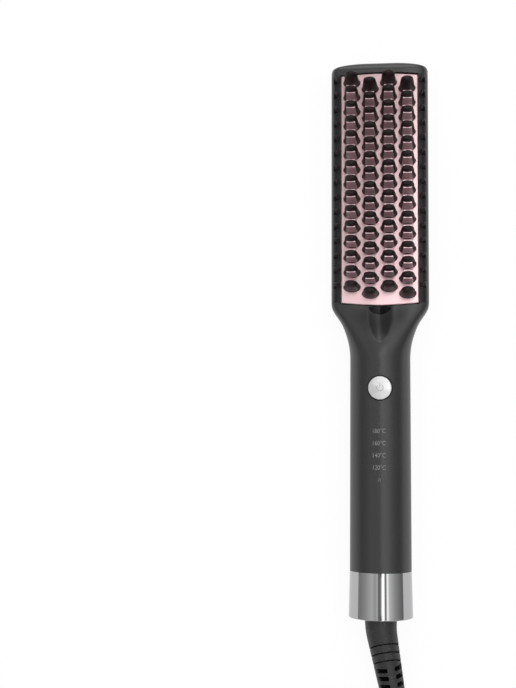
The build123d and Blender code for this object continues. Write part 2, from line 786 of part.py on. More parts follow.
with BuildPart() as housing_screws:
    with Locations(*[(x, y, screw_seat_z) for x, y in screw_spots]):
        Cylinder(screw_head_radius, screw_head_height, align=TOP)
        Cylinder(screw_shank_radius - tooth_fit, axis_z - screw_seat_z + screw_grip - tooth_fit, align=BASE)
    with Locations(*[(x, y, screw_seat_z - screw_head_height) for x, y in screw_spots]):
        Box(2 * screw_shank_radius, screw_shank_radius / 3, screw_head_height, mode=Mode.SUBTRACT)
        Box(screw_shank_radius / 3, 2 * screw_shank_radius, screw_head_height, mode=Mode.SUBTRACT)
housing_screws.part.label = "housing_screws"
export_step(housing_screws.part, "parts/housing_screws.step")

switch_top_z = board_top_z + switch_height
plunger_top_z = switch_top_z + plunger_rise
with BuildPart() as tact_switch:
    with Locations((0, button_y, board_top_z)):
        Box(switch_width, switch_width, switch_height, align=BASE)
    with Locations((0, button_y, switch_top_z)):
        plunger_room = plunger_depth + button_travel + seam_gap
        Cylinder(plunger_radius + swivel_clearance, 2 * plunger_room, mode=Mode.SUBTRACT)
tact_switch.part.label = "tact_switch"
export_step(tact_switch.part, "parts/tact_switch.step")

with BuildPart() as switch_plunger:
    with Locations((0, button_y, plunger_top_z)):
        Cylinder(plunger_radius, plunger_rise + plunger_depth, align=TOP)
switch_plunger.part.label = "switch_plunger"
export_step(switch_plunger.part, "parts/switch_plunger.step")

lights_y = button_y - first_light_from_button - (light_count - 1) * light_pitch / 2
with BuildPart() as indicator_lights:
    with Locations((0, lights_y, board_top_z)):
        with GridLocations(1, light_pitch, 1, light_count):
            Box(light_width, light_length, light_height, align=BASE)
indicator_lights.part.label = "indicator_lights"
export_step(indicator_lights.part, "parts/indicator_lights.step")

# a bar against the inside of the handle, with a leg down to each light
guide_bar_z = handle_top_z - guide_bar_drop
with BuildPart() as light_guide:
    with Locations((0, lights_y, guide_bar_z)):
        Box(guide_width, light_count * light_pitch, guide_bar_drop, align=BASE)
        with GridLocations(1, light_pitch, 1, light_count):
            Cylinder(guide_leg_radius, guide_bar_z - board_top_z - light_height - tooth_fit, align=TOP)
    with BuildSketch(Plane.XZ.offset(overall_length / 2)):
        with Locations((0, axis_z)):
            Circle(handle_front_radius - wall - tooth_fit)
    extrude(amount=-overall_length, mode=Mode.INTERSECT)
light_guide.part.label = "light_guide"
export_step(light_guide.part, "parts/light_guide.step")


def board_part(name, x, y, width, length, height, edge):
    with BuildPart() as piece:
        with Locations((x, y, board_top_z)):
            Box(width, length, height, align=BASE)
        chamfer(piece.edges().group_by(Axis.Z)[-1], edge)
    piece.part.label = name
    export_step(piece.part, f"parts/{name}.step")


chip_y = button_y - chip_behind_button
board_part("controller_chip", chip_size / 2, chip_y, chip_size, chip_size, chip_height, 0.2)
board_part("triac", 0, board_low_y + triac_inset, triac_width, triac_length, triac_height, 0.4)
board_part(
    "film_capacitor",
    -capacitor_width / 2 + 2,
    board_low_y + capacitor_inset,
    capacitor_width,
    capacitor_length,
    capacitor_height,
    0.5,
)

# ---- power button
guide_gap = swivel_clearance
with BuildPart() as power_button:
    with BuildSketch(Plane.YZ):
        with BuildLine():
            Line((button_y, handle_top_z + button_rise), (button_y, plunger_top_z))
            Polyline(
                (button_y, plunger_top_z),
                (button_y + button_stem_radius, plunger_top_z),
                (button_y + button_stem_radius, guide_end_z - guide_gap - button_flange_thickness),
                (button_y + button_radius + button_flange, guide_end_z - guide_gap - button_flange_thickness),
                (button_y + button_radius + button_flange, guide_end_z - guide_gap),
                (button_y + button_radius, guide_end_z - guide_gap),
                (button_y + button_radius, handle_top_z),
            )
            ThreePointArc(
                (button_y + button_radius, handle_top_z),
                (button_y + button_radius / 2, handle_top_z + 0.75 * button_rise),
                (button_y, handle_top_z + button_rise),
            )
        make_face()
    revolve(axis=Axis((0, button_y, 0), (0, 0, 1)))
    fillet(power_button.edges().filter_by(Plane.XY).sort_by(Axis.Z)[-1], button_edge_radius)
power_button.part.label = "power_button"
export_step(power_button.part, "parts/power_button.step")

# ---- chrome ring and tail
with BuildPart() as chrome_ring:
    with BuildSketch(Plane.YZ):
        with BuildLine():
            Polyline(
                (ring_seam_y - seam_gap, axis_z + ring_front_radius - ring_wall),
                (ring_seam_y - seam_gap, axis_z + ring_front_radius),
                (rear_y, axis_z + ring_rear_radius),
                (rear_y, axis_z + ring_front_radius - ring_wall),
                close=True,
            )
        make_face()
    revolve(axis=long_axis)
    fillet(chrome_ring.faces().sort_by(Axis.Y)[0].edges().sort_by(SortBy.LENGTH)[-1], ring_wall / 2)
chrome_ring.part.label = "chrome_ring"
export_step(chrome_ring.part, "parts/chrome_ring.step")


def turned(name, profile):
    # (y, distance from the long axis) round the section
    with BuildPart() as piece:
        with BuildSketch(Plane.YZ):
            with BuildLine():
                Polyline(*[(y, axis_z + distance) for y, distance in profile], close=True)
            make_face()
        revolve(axis=long_axis)
    piece.part.label = name
    export_step(piece.part, f"parts/{name}.step")


bush_face_y = rear_y + bush_recess
bush_end_y = rear_y + bush_length
bush_radius = spigot_radius - spigot_wall - tooth_fit
bush_bore = collar_radius + swivel_clearance
turned(
    "tail_bush",
    (
        (bush_face_y, bush_bore),
        (bush_face_y, spigot_radius),
        (rear_y + bush_flange, spigot_radius),
        (rear_y + bush_flange, bush_radius),
        (bush_end_y, bush_radius),
        (bush_end_y, bush_bore),
    ),
)

collar_flange_y = bush_end_y + swivel_clearance
collar_front_y = collar_flange_y + collar_flange
collar_floor_y = bush_face_y + collar_bore_depth
turned(
    "swivel_collar",
    (
        (bush_face_y, collar_bore),
        (bush_face_y, collar_radius),
        (collar_flange_y, collar_radius),
        (collar_flange_y, collar_flange_radius),
        (collar_front_y, collar_flange_radius),
        (collar_front_y, 0),
        (collar_floor_y, 0),
        (collar_floor_y, collar_bore),
    ),
)

slip_face_y = collar_front_y + slip_ring_thickness
with BuildPart() as slip_rings:
    with BuildSketch(Plane.XZ.offset(-collar_front_y)):
        with Locations((0, axis_z)):
            for radius in slip_ring_radii:
                Circle(radius + slip_ring_width / 2)
                Circle(radius - slip_ring_width / 2, mode=Mode.SUBTRACT)
    extrude(amount=-slip_ring_thickness)
slip_rings.part.label = "slip_rings"
export_step(slip_rings.part, "parts/slip_rings.step")

block_y = slip_face_y + contact_block_gap
block_front_y = block_y + contact_block_thickness
brush_spots = ((0, axis_z + slip_ring_radii[0]), (0, axis_z - slip_ring_radii[1]))
with BuildPart() as contact_block:
    with BuildSketch(Plane.XZ.offset(-block_y)):
        with Locations((0, axis_z)):
            Circle(bush_radius)
        with Locations(*brush_spots):
            Circle(brush_radius + tooth_fit, mode=Mode.SUBTRACT)
    extrude(amount=-contact_block_thickness)
contact_block.part.label = "contact_block"
export_step(contact_block.part, "parts/contact_block.step")

with BuildPart() as contact_brushes:
    with BuildSketch(Plane.XZ.offset(-(slip_face_y + swivel_clearance))):
        with Locations(*brush_spots):
            Circle(brush_radius)
    extrude(amount=-(block_front_y - slip_face_y - swivel_clearance))
contact_brushes.part.label = "contact_brushes"
export_step(contact_brushes.part, "parts/contact_brushes.step")


# ---- leads: each a round wire along rounded runs
def bend_radii(route):
    # as large as the two runs at each corner allow
    radii = []
    for before, corner, after in zip(route, route[1:], route[2:]):
        first, second = Vector(corner) - Vector(before), Vector(after) - Vector(corner)
        shorter = min(first.length, second.length)
        radii.append(0.45 * shorter / tan(radians(first.get_angle(second)) / 2))
    return radii


def wire(routes, radius):
    with BuildPart() as strands:
        for route in routes:
            with BuildLine() as path:
                FilletPolyline(*route, radius=bend_radii(route))
            line = path.wires()[0]
            with BuildSketch(Plane(origin=line @ 0, z_dir=line % 0)):
                Circle(radius)
            sweep(path=line)
    return strands


board_lead_z = board_top_z + 1.2
supply_leads = wire(
    [
        (
            (side * 5.5, block_front_y, axis_z),
            (side * 5.5, block_front_y + 6, axis_z),
            (side * 5.7, block_front_y + 13, axis_z + 2.6),
            (side * 5.3, board_low_y - 3.5, board_lead_z + 1.0),
            (side * 4.6, board_low_y + 1.5, board_lead_z - 0.1),
        )
        for side in (-1, 1)
    ],
    lead_radius,
)
supply_leads.part.label = "supply_leads"
export_step(supply_leads.part, "parts/supply_leads.step")

heater_leads = wire(
    [
        (
            (side * 1.1, board_tip_y - 2, board_lead_z - 0.1),
            (side * 1.1, board_tip_y + 3.5, board_lead_z + 0.3),
            (side * 1.1, board_tip_y + 10.5, clamp_under_z - 0.6),
            (side * 1.5, head_seam_y - 10.5, clamp_under_z - 1.7),
            (side * 2.0, head_seam_y - 2, clamp_under_z - 0.7),
            (side * lead_spacing, heater_low_y - electrode_tab_length, tab_z),
        )
        for side, tab_z in ((-1, lower_electrode_z), (1, upper_electrode_z))
    ],
    lead_radius,
)
heater_leads.part.label = "heater_leads"
export_step(heater_leads.part, "parts/heater_leads.step")

sensor_leads = wire(
    [
        (
            (x, board_tip_y - 2, board_lead_z - 0.4),
            (x, board_tip_y + 3, board_lead_z - 0.1),
            (x, board_tip_y + 11, clamp_under_z - 0.9),
            (x, head_seam_y - 10, shield_z + 2.2),
            (x, head_seam_y + 8, shield_z + 2.4),
            (x - 1.2, thermistor_spot[1] - thermistor_length / 2 - tooth_fit, thermistor_spot[2]),
        )
        for x in (3.3, 4.5)
    ],
    sensor_lead_radius,
)
sensor_leads.part.label = "sensor_leads"
export_step(sensor_leads.part, "parts/sensor_leads.step")

# ---- cord guard: leans to the right and droops; three full grooves, then pairs of side slots
cord_radius = cord_diameter / 2
guard_route = ((0, bush_face_y, axis_z), (0, rear_y - 6, axis_z), (7.9, rear_y - 50, 9.2))
with BuildLine() as guard_path:
    FilletPolyline(*guard_route, radius=30)
guard_line = guard_path.wires()[0]


def across_guard(share):
    return Plane(origin=guard_line @ share, x_dir=(1, 0, 0), z_dir=guard_line % share)


def guard_radius(share):
    return guard_root_radius + (guard_end_radius - guard_root_radius) * share


with BuildPart() as cord_core:
    with BuildSketch(across_guard(0)):
        Circle(cord_radius)
    sweep(path=guard_line)
cord_core.part.label = "cord_core"
export_step(cord_core.part, "parts/cord_core.step")

with BuildPart() as cord_guard:
    for step in range(guard_steps + 1):
        with BuildSketch(across_guard(step / guard_steps)):
            Circle(guard_radius(step / guard_steps))
    loft()
    # plug that the collar holds
    with BuildSketch(Plane.XZ.offset(-bush_face_y)):
        with Locations((0, axis_z)):
            Circle(collar_bore - tooth_fit)
    extrude(amount=-(collar_bore_depth - tooth_fit))
    fillet(cord_guard.faces().sort_by(Axis.Y)[0].edges(), guard_end_fillet)
    for groove in range(guard_groove_count):
        share = (first_groove + groove * groove_pitch) / guard_line.length
        with BuildSketch(across_guard(share)):
            Circle(2 * guard_root_radius)
            Circle(guard_radius(share) - guard_groove_depth, mode=Mode.SUBTRACT)
            if groove >= full_groove_count:
                Rectangle(guard_spine, 4 * guard_root_radius, mode=Mode.SUBTRACT)
        extrude(amount=guard_groove / 2, both=True, mode=Mode.SUBTRACT)
    with BuildSketch(across_guard(0)):
        Circle(cord_radius + tooth_fit)
    sweep(path=guard_line, mode=Mode.SUBTRACT)
cord_guard.part.label = "cord_guard"
export_step(cord_guard.part, "parts/cord_guard.step")

# ---- cord: free run, hank, tail to the plug
hank_near_y = rear_y - hank_from_handle
hank_height = hank_layers * cord_diameter
hank_outer = hank_fold_radius + (hank_columns - 0.5) * cord_diameter
hank_inner = hank_fold_radius - cord_radius
hank_run_x = hank_side + hank_outer - cord_radius
plug_z = hank_height + plug_height / 2
plug_face_y = rear_y - plug_from_handle
plug_tail_y = plug_face_y - plug_length - plug_relief_length

cord_route = (
    (7.9, rear_y - 50, 9.2),
    (10.8, rear_y - 66, 6.8),
    (14.8, rear_y - 82, 4.6),
    (18.6, rear_y - 97, 3.6),
    (20.9, rear_y - 112, 3.4),
    (hank_run_x, rear_y - 128, 3.4),
)
tail_route = (
    (hank_side - hank_fold_radius, rear_y - 184, hank_height - cord_radius),
    (hank_side - hank_fold_radius + 0.5, rear_y - 172, hank_height - cord_radius + 1.2),
    (hank_side - 16.0, rear_y - 158, hank_height + 1.8),
    (hank_side - 7.4, rear_y - 145, hank_height + 5.4),
    (hank_side - 1.9, rear_y - 132.5, plug_z - 0.2),
    (hank_side, plug_tail_y + 1, plug_z),
)


def cord_tube(name, route):
    radii = bend_radii(route)
    with BuildPart() as tube:
        with BuildLine() as path:
            FilletPolyline(*route, radius=radii)
        line = path.wires()[0]
        with BuildSketch(Plane(origin=line @ 0, z_dir=line % 0)):
            Circle(cord_radius)
        sweep(path=line)
    tube.part.label = name
    export_step(tube.part, f"parts/{name}.step")
    print(name, "length", round(line.length, 1), "bend radii", [round(radius) for radius in radii])
    plain_volume = pi * cord_radius**2 * line.length
    print(name, "volume over section times length", round(tube.part.volume / plain_volume, 4))


cord_tube("power_cord", cord_route)
cord_tube("cord_tail", tail_route)

with BuildPart() as cord_hank:
    with BuildSketch():
        with Locations(Location((hank_side, hank_near_y - hank_straight / 2, 0), (0, 0, 90))):
            SlotCenterToCenter(hank_straight, 2 * hank_outer)
            SlotCenterToCenter(hank_straight, 2 * hank_inner, mode=Mode.SUBTRACT)
    extrude(amount=hank_height)
    fillet(cord_hank.faces().filter_by(Axis.Z).edges(), hank_edge_radius)
cord_hank.part.label = "cord_hank"
export_step(cord_hank.part, "parts/cord_hank.step")

with BuildPart() as cord_tie:
    with BuildSketch(Plane.XZ.offset(-(hank_near_y - hank_straight / 2))):
        with Locations((hank_side, hank_height / 2)):
            RectangleRounded(2 * (hank_outer + tie_thickness), hank_height, hank_edge_radius + tie_thickness)
            RectangleRounded(
                2 * hank_outer, hank_height - 2 * tie_thickness, hank_edge_radius, mode=Mode.SUBTRACT
            )
    extrude(amount=tie_width / 2, both=True)
cord_tie.part.label = "cord_tie"
export_step(cord_tie.part, "parts/cord_tie.step")

# ---- flat two-pin plug that lies on the hank, pins towards the comb
with BuildPart() as plug_body:
    for share, width, height in ((0, 0.42, 0.8), (0.35, 0.66, 0.94), (0.8, 0.98, 1), (1, 1, 1)):
        with BuildSketch(Plane.XZ.offset(-(plug_face_y - plug_length * (1 - share)))):
            with Locations((hank_side, plug_z)):
                RectangleRounded(plug_width * width, plug_height * height, plug_height * height * 0.42)
    loft()
    fillet(plug_body.faces().sort_by(Axis.Y)[-1].edges(), pin_edge_radius)
    with BuildSketch(Plane.XZ.offset(-(plug_face_y - plug_length))):
        with Locations((hank_side, plug_z)):
            Circle(plug_relief_radius)
    extrude(amount=plug_relief_length, taper=3)
    with Locations((hank_side, plug_face_y, plug_z)), GridLocations(pin_spacing, 1, 2, 1):
        Cylinder(pin_root_radius, 2 * pin_root, rotation=(90, 0, 0), mode=Mode.SUBTRACT)
plug_body.part.label = "plug_body"
export_step(plug_body.part, "parts/plug_body.step")

with BuildPart() as plug_pins:
    with BuildSketch(Plane.XZ.offset(-plug_face_y)):
        with Locations((hank_side, plug_z)):
            with GridLocations(pin_spacing, 1, 2, 1):
                Circle(pin_radius)
    extrude(amount=-pin_length)
    fillet(plug_pins.faces().group_by(Axis.Y)[-1].edges(), pin_edge_radius)
    with BuildSketch(Plane.XZ.offset(-(plug_face_y - pin_root))):
        with Locations((hank_side, plug_z)):
            with GridLocations(pin_spacing, 1, 2, 1):
                Circle(pin_root_radius)
    extrude(amount=-pin_root)
plug_pins.part.label = "plug_pins"
export_step(plug_pins.part, "parts/plug_pins.step")
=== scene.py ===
from math import atan2, cos, pi, radians, sin, sqrt

import bmesh
import bpy
from mathutils import Matrix, Vector


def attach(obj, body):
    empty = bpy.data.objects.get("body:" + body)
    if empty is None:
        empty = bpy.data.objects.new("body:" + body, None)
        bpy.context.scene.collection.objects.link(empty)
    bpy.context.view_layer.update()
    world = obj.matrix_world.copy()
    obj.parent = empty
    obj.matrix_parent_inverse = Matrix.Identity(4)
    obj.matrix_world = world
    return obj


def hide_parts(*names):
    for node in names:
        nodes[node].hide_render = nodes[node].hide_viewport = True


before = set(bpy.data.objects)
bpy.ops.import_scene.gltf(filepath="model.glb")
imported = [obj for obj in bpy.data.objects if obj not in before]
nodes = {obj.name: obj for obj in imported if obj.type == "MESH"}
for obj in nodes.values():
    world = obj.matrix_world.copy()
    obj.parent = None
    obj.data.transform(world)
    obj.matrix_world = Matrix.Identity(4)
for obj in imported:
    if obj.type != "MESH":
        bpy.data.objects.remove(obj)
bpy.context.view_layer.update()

mm = 0.001
print("frame loaded:", len(nodes), "nodes")


# shared helpers for objects and shader nodes
def newObject(name, data):
    thing = bpy.data.objects.new(name, data)
    bpy.context.scene.collection.objects.link(thing)
    return thing


def setInputs(tree, node, inputs):
    # each input gets a number, a colour or the socket that feeds it
    for label, value in inputs.items():
        if isinstance(value, bpy.types.NodeSocket):
            tree.links.new(value, node.inputs[label])
        else:
            node.inputs[label].default_value = value


def addNode(tree, kind, inputs=None, **settings):
    node = tree.nodes.new("ShaderNode" + kind)
    for key, value in settings.items():
        setattr(node, key, value)
    setInputs(tree, node, inputs or {})
    return node


def addMath(tree, operation, *values):
    return addNode(tree, "Math", dict(enumerate(values)), operation=operation).outputs[0]


# camera straight above, leaning a little to the left and towards the tip; place in mm, angles in radians
cameraSettings = {
    "place": (8.784, -51.86, 631.87),
    "lean": 0.1148,
    "tilt": 0.0776,
    "roll": 0.0052,
    "focalPixels": 1214.85,
    "longSidePixels": 688,
    "sensorWidth": 36,
    "clip": (0.01, 20),
}


def placeCamera():
    data = bpy.data.cameras.new("camera")
    data.sensor_width = cameraSettings["sensorWidth"]
    data.lens = cameraSettings["focalPixels"] / cameraSettings["longSidePixels"] * data.sensor_width
    data.clip_start, data.clip_end = cameraSettings["clip"]
    camera = newObject("camera", data)
    lean, tilt, roll = (cameraSettings[key] for key in ("lean", "tilt", "roll"))
    forward = Vector((-sin(lean) * cos(tilt), sin(tilt), -cos(lean) * cos(tilt)))
    right = Vector((cos(lean), 0, -sin(lean)))
    up = right.cross(forward)
    right, up = cos(roll) * right + sin(roll) * up, cos(roll) * up - sin(roll) * right
    turn = Matrix((right, up, -forward)).transposed().to_4x4()
    camera.matrix_world = Matrix.Translation(Vector(cameraSettings["place"]) * mm) @ turn
    bpy.context.scene.camera = camera


# studio: soft overhead light, long strips overhead and a darker surround, for the chrome and the handle
studio = {
    "floorColour": (0.86, 0.86, 0.86),
    "floorSize": 6.0,
    "floorDrop": 0.05,
    # share of the floor's look that glows by itself, and how bright the glow is in a mirror
    "floorLift": 0.93,
    "floorMirror": 0.78,
    # angle from straight up towards the right, in degrees, and how bright the surround is there
    "strips": (
        (-90, 0.3), (-78, 0.3), (-58, 0.41), (-38, 0.6), (-31, 0.65), (-22, 0.52), (-18, 0.5), (-14, 0.6),
        (-12.2, 0.86), (-10, 0.32), (-5, 0.18), (0, 0.08), (3, 0.1), (5, 0.9), (8, 2.3), (12, 2.3),
        (14.5, 0.5), (18, 0.24), (20.5, 0.4), (23.5, 1.6), (27, 1.5), (30, 0.85), (36, 0.72), (52, 0.44),
        (73, 0.26), (88, 0.18),
    ),
    "backdrop": 0.95,
    "backdropHeight": (-0.02, 0.03),
    # place and size in metres, power, and whether glossy surfaces mirror the lamp
    "lamps": {
        "keyLight": ((0.05, 0.0, 1.1), (0.9, 1.3), 8.5, False),
        "tipLight": ((-0.12, 1.15, 0.5), (0.8, 0.45), 1.7, True),
        "sheenLight": ((0.065, 0.25, 1.0), (0.13, 0.38), 0.34, True),
    },
}


def buildSurround(scene):
    # the camera sees a pale backdrop, everything else sees the strips
    world = bpy.data.worlds.new("studio")
    scene.world = world
    world.use_nodes = True
    tree = world.node_tree
    tree.nodes.clear()
    place = addNode(tree, "TexCoord")
    split = addNode(tree, "SeparateXYZ", {0: place.outputs["Generated"]})
    angle = addMath(tree, "ARCTAN2", split.outputs["X"], split.outputs["Z"])
    spread = addNode(tree, "MapRange", {"Value": angle, "From Min": -pi / 2, "From Max": pi / 2})
    ramp = addNode(tree, "ValToRGB", {"Fac": spread.outputs["Result"]})
    brightest = max(level for _, level in studio["strips"])
    while len(ramp.color_ramp.elements) < len(studio["strips"]):
        ramp.color_ramp.elements.new(0.5)
    for element, (degrees, level) in zip(ramp.color_ramp.elements, studio["strips"]):
        element.position = (degrees + 90) / 180
        element.color = (level / brightest,) * 3 + (1,)
    strips = addNode(tree, "Background", {"Strength": brightest, "Color": ramp.outputs["Color"]})
    pale = addNode(tree, "Background", {"Color": (studio["backdrop"],) * 3 + (1,)})
    low, high = studio["backdropHeight"]
    height = addNode(tree, "MapRange", {"Value": split.outputs["Z"], "From Min": low, "From Max": high},
                     interpolation_type="SMOOTHSTEP")
    unseen = addMath(tree, "SUBTRACT", 1, addNode(tree, "LightPath").outputs["Is Camera Ray"])
    share = addMath(tree, "MULTIPLY", height.outputs["Result"], unseen)
    mix = addNode(tree, "MixShader", {"Fac": share, 1: pale.outputs[0], 2: strips.outputs[0]})
    addNode(tree, "OutputWorld", {"Surface": mix.outputs[0]})


def buildFloor():
    half = studio["floorSize"] / 2
    mesh = bpy.data.meshes.new("floor")
    corners = [(x * half, y * half, 0) for x, y in ((-1, -1), (1, -1), (1, 1), (-1, 1))]
    mesh.from_pydata(corners, [], [(0, 1, 2, 3)])
    floor = newObject("floor", mesh)
    floor.location.z = -studio["floorDrop"] * mm
    material = bpy.data.materials.new("paleFloor")
    material.use_nodes = True
    tree = material.node_tree
    tree.nodes.clear()
    path = addNode(tree, "LightPath")
    direct, mirrored = path.outputs["Is Camera Ray"], path.outputs["Is Glossy Ray"]
    strength = addMath(tree, "MULTIPLY_ADD", direct, 1 - studio["floorMirror"], studio["floorMirror"])
    share = addMath(tree, "MULTIPLY", addMath(tree, "MAXIMUM", direct, mirrored), studio["floorLift"])
    matt = addNode(tree, "BsdfDiffuse", {"Color": studio["floorColour"] + (1,)})
    glow = addNode(tree, "Emission", {"Strength": strength})
    mix = addNode(tree, "MixShader", {"Fac": share, 1: matt.outputs[0], 2: glow.outputs[0]})
    addNode(tree, "OutputMaterial", {"Surface": mix.outputs[0]})
    mesh.materials.append(material)


def placeLamps():
    for name, (place, size, power, mirrored) in studio["lamps"].items():
        light = bpy.data.lights.new(name, "AREA")
        light.shape = "RECTANGLE"
        light.size, light.size_y = size
        light.energy = power
        lamp = newObject(name, light)
        lamp.location = place
        lamp.rotation_euler = (-Vector(place)).to_track_quat("-Z", "Y").to_euler()
        lamp.visible_glossy = mirrored


bpy.context.scene.view_settings.view_transform = "Standard"
placeCamera()
buildSurround(bpy.context.scene)
buildFloor()
placeLamps()
print("camera and studio placed")


# shader groups that several finishes share, and their numbers: the edge's radius is in mm
def newGroup(name, inputs, outputs):
    group = bpy.data.node_groups.new(name, "ShaderNodeTree")
    for label, value in inputs.items():
        socket = group.interface.new_socket(name=label, in_out="INPUT", socket_type="NodeSocketFloat")
        socket.default_value = value
    for label in outputs:
        group.interface.new_socket(name=label, in_out="OUTPUT", socket_type="NodeSocketFloat")
    return group, group.nodes.new("NodeGroupInput"), group.nodes.new("NodeGroupOutput")


relief = {"detail": 3, "pitShare": 0.4, "edgeRadius": 0.35, "edgeSamples": 4, "speckReach": 0.35,
          "speckGain": 2.2, "speckLift": 0.06}


def buildGrainGroup():
    # fine moulded grain over a slow mottle
    group, start, end = newGroup("grain", {"Scale": 900, "Mottle Scale": 40}, ("Mottle", "Grain", "Height"))
    place, scale = addNode(group, "TexCoord").outputs["Object"], start.outputs["Scale"]
    fine = addNode(group, "TexNoise", {"Vector": place, "Scale": scale, "Detail": relief["detail"]})
    slow = addNode(group, "TexNoise", {"Vector": place, "Scale": start.outputs["Mottle Scale"]})
    pits = addNode(group, "TexVoronoi", {"Vector": place, "Scale": scale})
    height = addMath(group, "MULTIPLY_ADD", pits.outputs["Distance"], relief["pitShare"], fine.outputs["Fac"])
    setInputs(group, end, {"Mottle": slow.outputs["Fac"], "Grain": fine.outputs["Fac"], "Height": height})
    return group


def buildEdgeGroup():
    # 1 along sharp edges, where handling polishes or chips a surface, and where the rail's finish paints a
    # highlight on its teeth tips
    group, start, end = newGroup("edgeWearAndHighlight", {"Break Up": 180, "Sharpness": 6}, ("Mask",))
    soft = addNode(group, "Bevel", {"Radius": relief["edgeRadius"] * mm}, samples=relief["edgeSamples"])
    shape = addNode(group, "NewGeometry")
    dot = addNode(group, "VectorMath", {0: soft.outputs["Normal"], 1: shape.outputs["Normal"]},
                  operation="DOT_PRODUCT")
    bend = addMath(group, "SUBTRACT", 1, dot.outputs["Value"])
    bend = addMath(group, "MULTIPLY", bend, start.outputs["Sharpness"])
    place = addNode(group, "TexCoord").outputs["Object"]
    noise = addNode(group, "TexNoise", {"Vector": place, "Scale": start.outputs["Break Up"]})
    mask = addMath(group, "MINIMUM", addMath(group, "MULTIPLY", bend, noise.outputs["Fac"]), 1)
    setInputs(group, end, {"Mask": mask})
    return group


def buildSpeckGroup():
    # scattered light specks, as dust or filler in rubber
    group, start, end = newGroup("specks", {"Scale": 1500, "Share": 0.1}, ("Mask",))
    place = addNode(group, "TexCoord").outputs["Object"]
    cells = addNode(group, "TexVoronoi", {"Vector": place, "Scale": start.outputs["Scale"]})
    split = addNode(group, "SeparateColor", {0: cells.outputs["Color"]})
    chosen = addMath(group, "LESS_THAN", split.outputs[0], start.outputs["Share"])
    near = addMath(group, "LESS_THAN", cells.outputs["Distance"], relief["speckReach"])
    setInputs(group, end, {"Mask": addMath(group, "MULTIPLY", chosen, near)})
    return group


groups = {"grain": buildGrainGroup(), "edgeWearAndHighlight": buildEdgeGroup(), "specks": buildSpeckGroup()}
